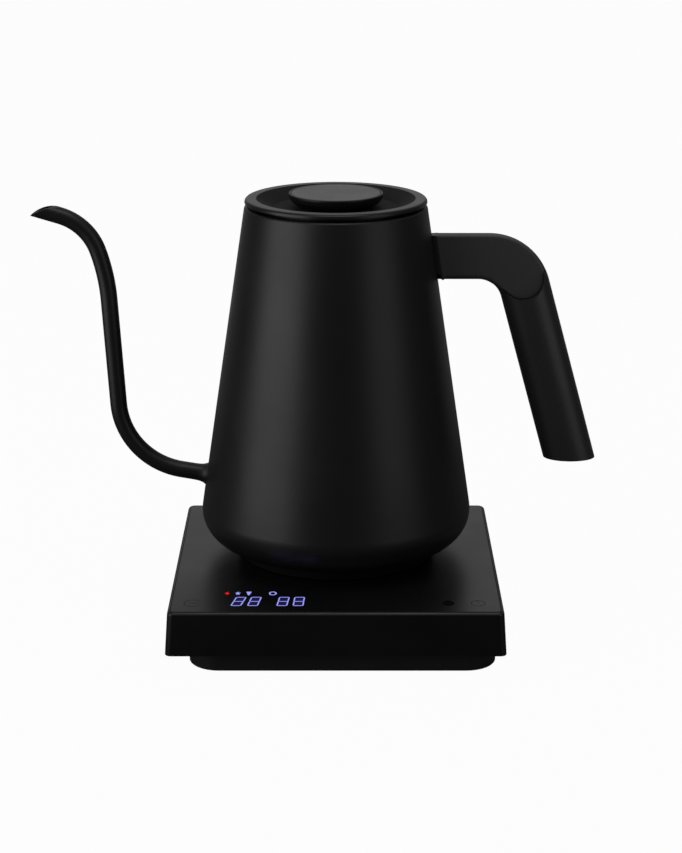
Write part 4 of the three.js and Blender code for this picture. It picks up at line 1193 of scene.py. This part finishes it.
def arm_outline(gap=0.0, softened=1.0):
    """Anticlockwise from the foot of the seam: underside, fillet, cheek, outer bend, top."""
    under, over = arm_bottom - gap, arm_top + gap
    seam_foot, seam_head = seam_x(under, seam_offset - gap), seam_x(over, seam_offset - gap)
    outline = [(seam_foot, under, seam_rounding)]
    straight = inner_centre[0] - seam_foot
    outline += [(seam_foot + straight * part, under, under_rounding) for part in (0.06, 0.3, 0.6, 0.9)]
    fillet = arc(inner_centre, inner_radius - gap, 90, fillet_end_angle, 8)
    outline += with_rounding(fillet, under_rounding)
    cheek = arc(cheek_centre, cheek_radius + gap, cheek_start_angle, grip_lean - 2, 28)
    fillet_end = Vector(outline[-1][:2])
    for part in (0.25, 0.5, 0.75):
        place = fillet_end.lerp(Vector(cheek[0]), part)
        outline.append((place.x, place.y, under_rounding + (cheek_rounding - under_rounding) * part))
    outline += with_rounding(cheek, cheek_rounding)
    bend = arc(bend_centre, bend_radius - 0.02 * mm + gap, bend_start_angle, 90, 20)
    for i, (x, z) in enumerate(bend):
        outline.append((x, z, side_rounding + (top_rounding - side_rounding) * min(1, i / 12)))
    outline += [(seam_head + 1.2 * mm, over, top_rounding), (seam_head, over, seam_rounding)]
    return [(x, z, rounding * softened) for x, z, rounding in outline]


# The arm's colour is about twice the grip's, though both are one plastic: the difference is painted light
# falling on its flat cheeks from the front.
arm_plastic_painted_light = finish(
    "arm plastic with painted light", (0.056, 0.056, 0.0568), (0.066, 0.066, 0.066), 0.5, spread=0.05, grain=0.45 * mm,
    depth=0.4, reach=0.5 * mm,
)
arm = make_piece("arm", slab(arm_outline(), arm_half_width), arm_plastic_painted_light, sharp=28)
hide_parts("handle_arm")
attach(arm, "kettle")

seam_gap = 0.02 * mm
pad_edge = 0.8 * mm
pad_depth = 5 * mm
pad_spare = 5 * mm
weld_gap = 0.05 * mm
pad_foot = seam_x(arm_bottom, seam_offset - seam_gap)
pad_head = seam_x(arm_top, seam_offset - seam_gap)
pad_outline = [
    (pad_foot - pad_depth, arm_bottom, under_rounding), (pad_foot - pad_edge, arm_bottom, under_rounding),
    (pad_foot, arm_bottom, seam_rounding), (pad_head, arm_top, seam_rounding),
    (pad_head - pad_edge, arm_top, top_rounding), (pad_head - pad_depth, arm_top, top_rounding),
]
mount_finish = finish("mount metal", (0.009, 0.009, 0.0095), (0.05, 0.05, 0.05), 0.4, grain=0.35 * mm)
mount = make_piece("mount_pad", slab(pad_outline, arm_half_width), mount_finish, sharp=28)
side_low, side_high = arm_bottom - pad_spare, arm_top + pad_spare
body_side = turned("body_side", [
    (0, side_low), (seam_x(side_low, weld_gap), side_low),
    (seam_x(side_high, weld_gap), side_high), (0, side_high),
], mount_finish, sides=256, softened=False)
carve(mount, body_side)
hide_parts("handle_mount")
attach(mount, "kettle")
refinish(bare_steel, "handle_tongue", "handle_screw_1", "handle_screw_2")

# ---- Handle grip and its end cap ----
# The grip is an oval bar in a like plastic, thicker than the arm. Its top is notched to take the
# arm's round end, and its foot is cut level and closed with a round press-in cap.
grip_axis = Vector((math.sin(math.radians(grip_lean)), 0, -math.cos(math.radians(grip_lean))))
grip_end_rounding = 0.9 * mm
grip_rise = 12 * mm
grip_turn = 3 * mm
grip_spare = 8 * mm
notch_gap = 0.15 * mm


def grip_form():
    """An oval bar down the lean. Its upper end follows the bend outside and the fillet inside."""
    outward = Vector((lean_cosine, 0, math.sin(math.radians(grip_lean))))
    half = grip_breadth / 2
    outer_start = Vector((bend_centre[0], 0, bend_centre[1])) + outward * (bend_radius - half)
    inner_start = Vector((inner_centre[0], 0, inner_centre[1])) + outward * (inner_radius + half)
    lag = (inner_start - outer_start).dot(grip_axis)
    length = (outer_start.z - grip_bottom) / lean_cosine + grip_spare
    distances = [-grip_rise + (grip_rise + grip_turn) * i / 15 for i in range(16)]
    distances += [grip_turn + (length - grip_turn) * i / 20 for i in range(1, 21)]
    sections = []
    for distance in distances:
        above_bend = max(0.0, -distance)
        above_fillet = min(max(0.0, lag - distance), 0.9 * inner_radius)
        outer = half - bend_radius + math.sqrt(bend_radius ** 2 - above_bend ** 2)
        inner = half + inner_radius - math.sqrt(inner_radius ** 2 - above_fillet ** 2)
        sections.append((outer_start + grip_axis * distance, outer, inner))
    sides = 72
    loops = []
    for place, outer, inner in sections:
        loop = []
        for i in range(sides):
            turn = 2 * math.pi * i / sides
            across = outward * ((outer if math.cos(turn) > 0 else inner) * math.cos(turn))
            loop.append(place + across + Vector((0, grip_width / 2 * math.sin(turn), 0)))
        loops.append(loop)
    form = loft(loops)
    everything = form.verts[:] + form.edges[:] + form.faces[:]
    cut = bmesh.ops.bisect_plane(
        form, geom=everything, dist=1e-7, plane_co=(0, 0, grip_bottom), plane_no=(0, 0, -1),
        clear_outer=True,
    )
    foot_edges = [item for item in cut["geom_cut"] if isinstance(item, bmesh.types.BMEdge)]
    filled = bmesh.ops.edgeloop_fill(form, edges=foot_edges)
    bmesh.ops.bevel(
        form, geom=list(filled["faces"][0].edges), offset=grip_end_rounding, segments=4, profile=0.5,
        affect="EDGES", clamp_overlap=True,
    )
    return form


grip_plastic = finish(
    "grip plastic", (0.028, 0.028, 0.0285), (0.038, 0.038, 0.038), 0.37, spread=0.05, grain=0.45 * mm,
    depth=0.4, reach=0.4 * mm,
)
grip = make_piece("grip", grip_form(), grip_plastic)
notch_form = slab(arm_outline(gap=notch_gap, softened=0.0), grip_width, steps=1)
arm_notch = make_piece("arm_notch", notch_form, grip_plastic)
carve(grip, arm_notch)
cap_low, cap_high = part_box("handle_end_cap")
cap_offset = -0.5 * mm
cap_middle = ((cap_low.x + cap_high.x) / 2 + cap_offset, 0)
cap_radius = (cap_high.y - cap_low.y) / 2
cap_dish = 0.3 * mm
cap_top = cap_low.z + 2.6 * mm
cap_seat_radius = cap_radius + 0.3 * mm
cap_seat_top = cap_low.z + 3 * mm
cap_seat_under = cap_low.z - 2 * mm
cap_seat = turned("cap_seat", [
    (0, cap_seat_under), (cap_seat_radius, cap_seat_under),
    (cap_seat_radius, cap_seat_top), (0, cap_seat_top),
], grip_plastic, sides=64, centre=cap_middle, softened=False)
carve(grip, cap_seat)
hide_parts("handle_grip")
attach(grip, "kettle")
end_cap = turned("end_cap", [
    (0, cap_low.z + cap_dish), (cap_radius - 2 * mm, cap_low.z + cap_dish),
    (cap_radius - 1 * mm, cap_low.z, 0.4 * mm), (cap_radius, cap_low.z, 0.4 * mm),
    (cap_radius, cap_top), (0, cap_top),
], dark_rubber, sides=64, centre=cap_middle)
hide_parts("handle_end_cap")
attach(end_cap, "kettle")

# ---- Lid ----
# The lid is a black ring that sits just above the rim, with a dished middle and a skirt that
# drops into the neck. A steel liner under it carries the gasket, and three small holes let steam out.
lid_low, lid_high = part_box("lid_cap")
ring_radius = (lid_high.x - lid_low.x) / 2
ring_under = body_rim + 1.5 * mm
ring_rounding = 1.6 * mm
dish_rim = lid_high.z
dish_rim_radius = 39 * mm
dish_floor_radius = 30 * mm
dish_floor = dish_rim - 4.5 * mm
lid_wall = 1.6 * mm
skirt_radius = mouth_radius - 0.7 * mm
screw_hole = 2.3 * mm
lid_coat = finish(
    "lid coat", (0.005, 0.005, 0.0052), (0.04, 0.04, 0.041), 0.33, spread=0.05, grain=0.35 * mm,
    depth=0.15, reach=0.4 * mm, matt_radius=dish_rim_radius, matt_more=0.5,
)
lid = turned("lid", [
    (screw_hole, dish_floor - lid_wall), (skirt_radius - lid_wall, dish_floor - lid_wall),
    (skirt_radius - lid_wall, lid_low.z), (skirt_radius, lid_low.z, 0.4 * mm),
    (skirt_radius, ring_under, 0.3 * mm), (ring_radius, ring_under, 0.25 * mm),
    *arc((ring_radius - ring_rounding, dish_rim - ring_rounding), ring_rounding, 0, 90, 6),
    (dish_rim_radius, dish_rim, 0.9 * mm), (dish_floor_radius, dish_floor, 2.5 * mm),
    (screw_hole, dish_floor),
], lid_coat, sides=224, sharp=40)
vent_radius = 1.2 * mm
vent_y = 18 * mm
vent_pitch = 5 * mm
drill_low, drill_high = dish_floor - 5 * mm, dish_floor + 5 * mm
for vent_x in (-vent_pitch, 0, vent_pitch):
    drill = turned("vent_drill", [
        (0, drill_low), (vent_radius, drill_low), (vent_radius, drill_high), (0, drill_high),
    ], lid_coat, sides=20, centre=(vent_x, vent_y), softened=False)
    carve(lid, drill)
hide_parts("lid_cap")
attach(lid, "lid")

refinish(brushed_steel, "lid_liner")
gasket_low, gasket_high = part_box("lid_gasket")
gasket_outer = (gasket_high.x - gasket_low.x) / 2
gasket_inner = 38.9 * mm
gasket_middle = (gasket_low.z + gasket_high.z) / 2
gray_silicone = finish("gray silicone", (0.25, 0.25, 0.24), (0.3, 0.3, 0.3), 0.65, grain=0.5 * mm)
gasket = turned("gasket", [
    (gasket_inner, gasket_low.z, 0.2 * mm), (gasket_outer - 0.5 * mm, gasket_low.z, 0.3 * mm),
    (gasket_outer, gasket_low.z + 0.8 * mm, 0.3 * mm), (gasket_outer - 0.7 * mm, gasket_middle, 0.3 * mm),
    (gasket_outer, gasket_high.z - 0.8 * mm, 0.3 * mm), (gasket_outer - 0.5 * mm, gasket_high.z, 0.3 * mm),
    (gasket_inner, gasket_high.z, 0.2 * mm),
], gray_silicone, sides=160)
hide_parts("lid_gasket")
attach(gasket, "lid")
refinish(bare_steel, "lid_screw")

# ---- Lid knob ----
# The knob is a low moulded cone, wider at its top, held by a screw from under the lid. A gray
# metallic disc is let into its face.
knob_low, knob_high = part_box("lid_knob")
knob_top_radius = (knob_high.x - knob_low.x) / 2
knob_foot_radius = 14 * mm
knob_belly_radius = 20.5 * mm
knob_belly_rise = 1.5 * mm
knob_shoulder_radius = 22.6 * mm
knob_shoulder_drop = 3.1 * mm
disc_low, disc_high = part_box("knob_disc")
disc_radius = (disc_high.x - disc_low.x) / 2
disc_seat = disc_low.z - 0.2 * mm
disc_seat_radius = disc_radius + 0.2 * mm
knob_plastic = finish("knob plastic", (0.0065, 0.0065, 0.0065), (0.03, 0.03, 0.03), 0.4, grain=0.4 * mm)
knob = turned("knob", [
    (0, knob_low.z), (knob_foot_radius, knob_low.z, 0.5 * mm),
    (knob_belly_radius, knob_low.z + knob_belly_rise, 3 * mm),
    (knob_shoulder_radius, knob_high.z - knob_shoulder_drop, 2 * mm),
    (knob_top_radius, knob_high.z - 1 * mm, 0.8 * mm), (knob_top_radius, knob_high.z, 0.3 * mm),
    (disc_seat_radius, knob_high.z, 0.15 * mm), (disc_seat_radius, disc_seat), (0, disc_seat),
], knob_plastic, sides=160)
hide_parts("lid_knob")
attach(knob, "lid")
disc_gray = finish(
    "disc gray", (0.074, 0.074, 0.076), (0.12, 0.12, 0.125), 0.36, spread=0.05, grain=0.3 * mm,
    depth=0.25, patch=20 * mm, reach=0.25 * mm,
)
disc = turned("disc", [
    (0, disc_low.z), (disc_radius, disc_low.z), (disc_radius, disc_high.z, 0.25 * mm), (0, disc_high.z),
], disc_gray, sides=160)
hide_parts("knob_disc")
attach(disc, "lid")
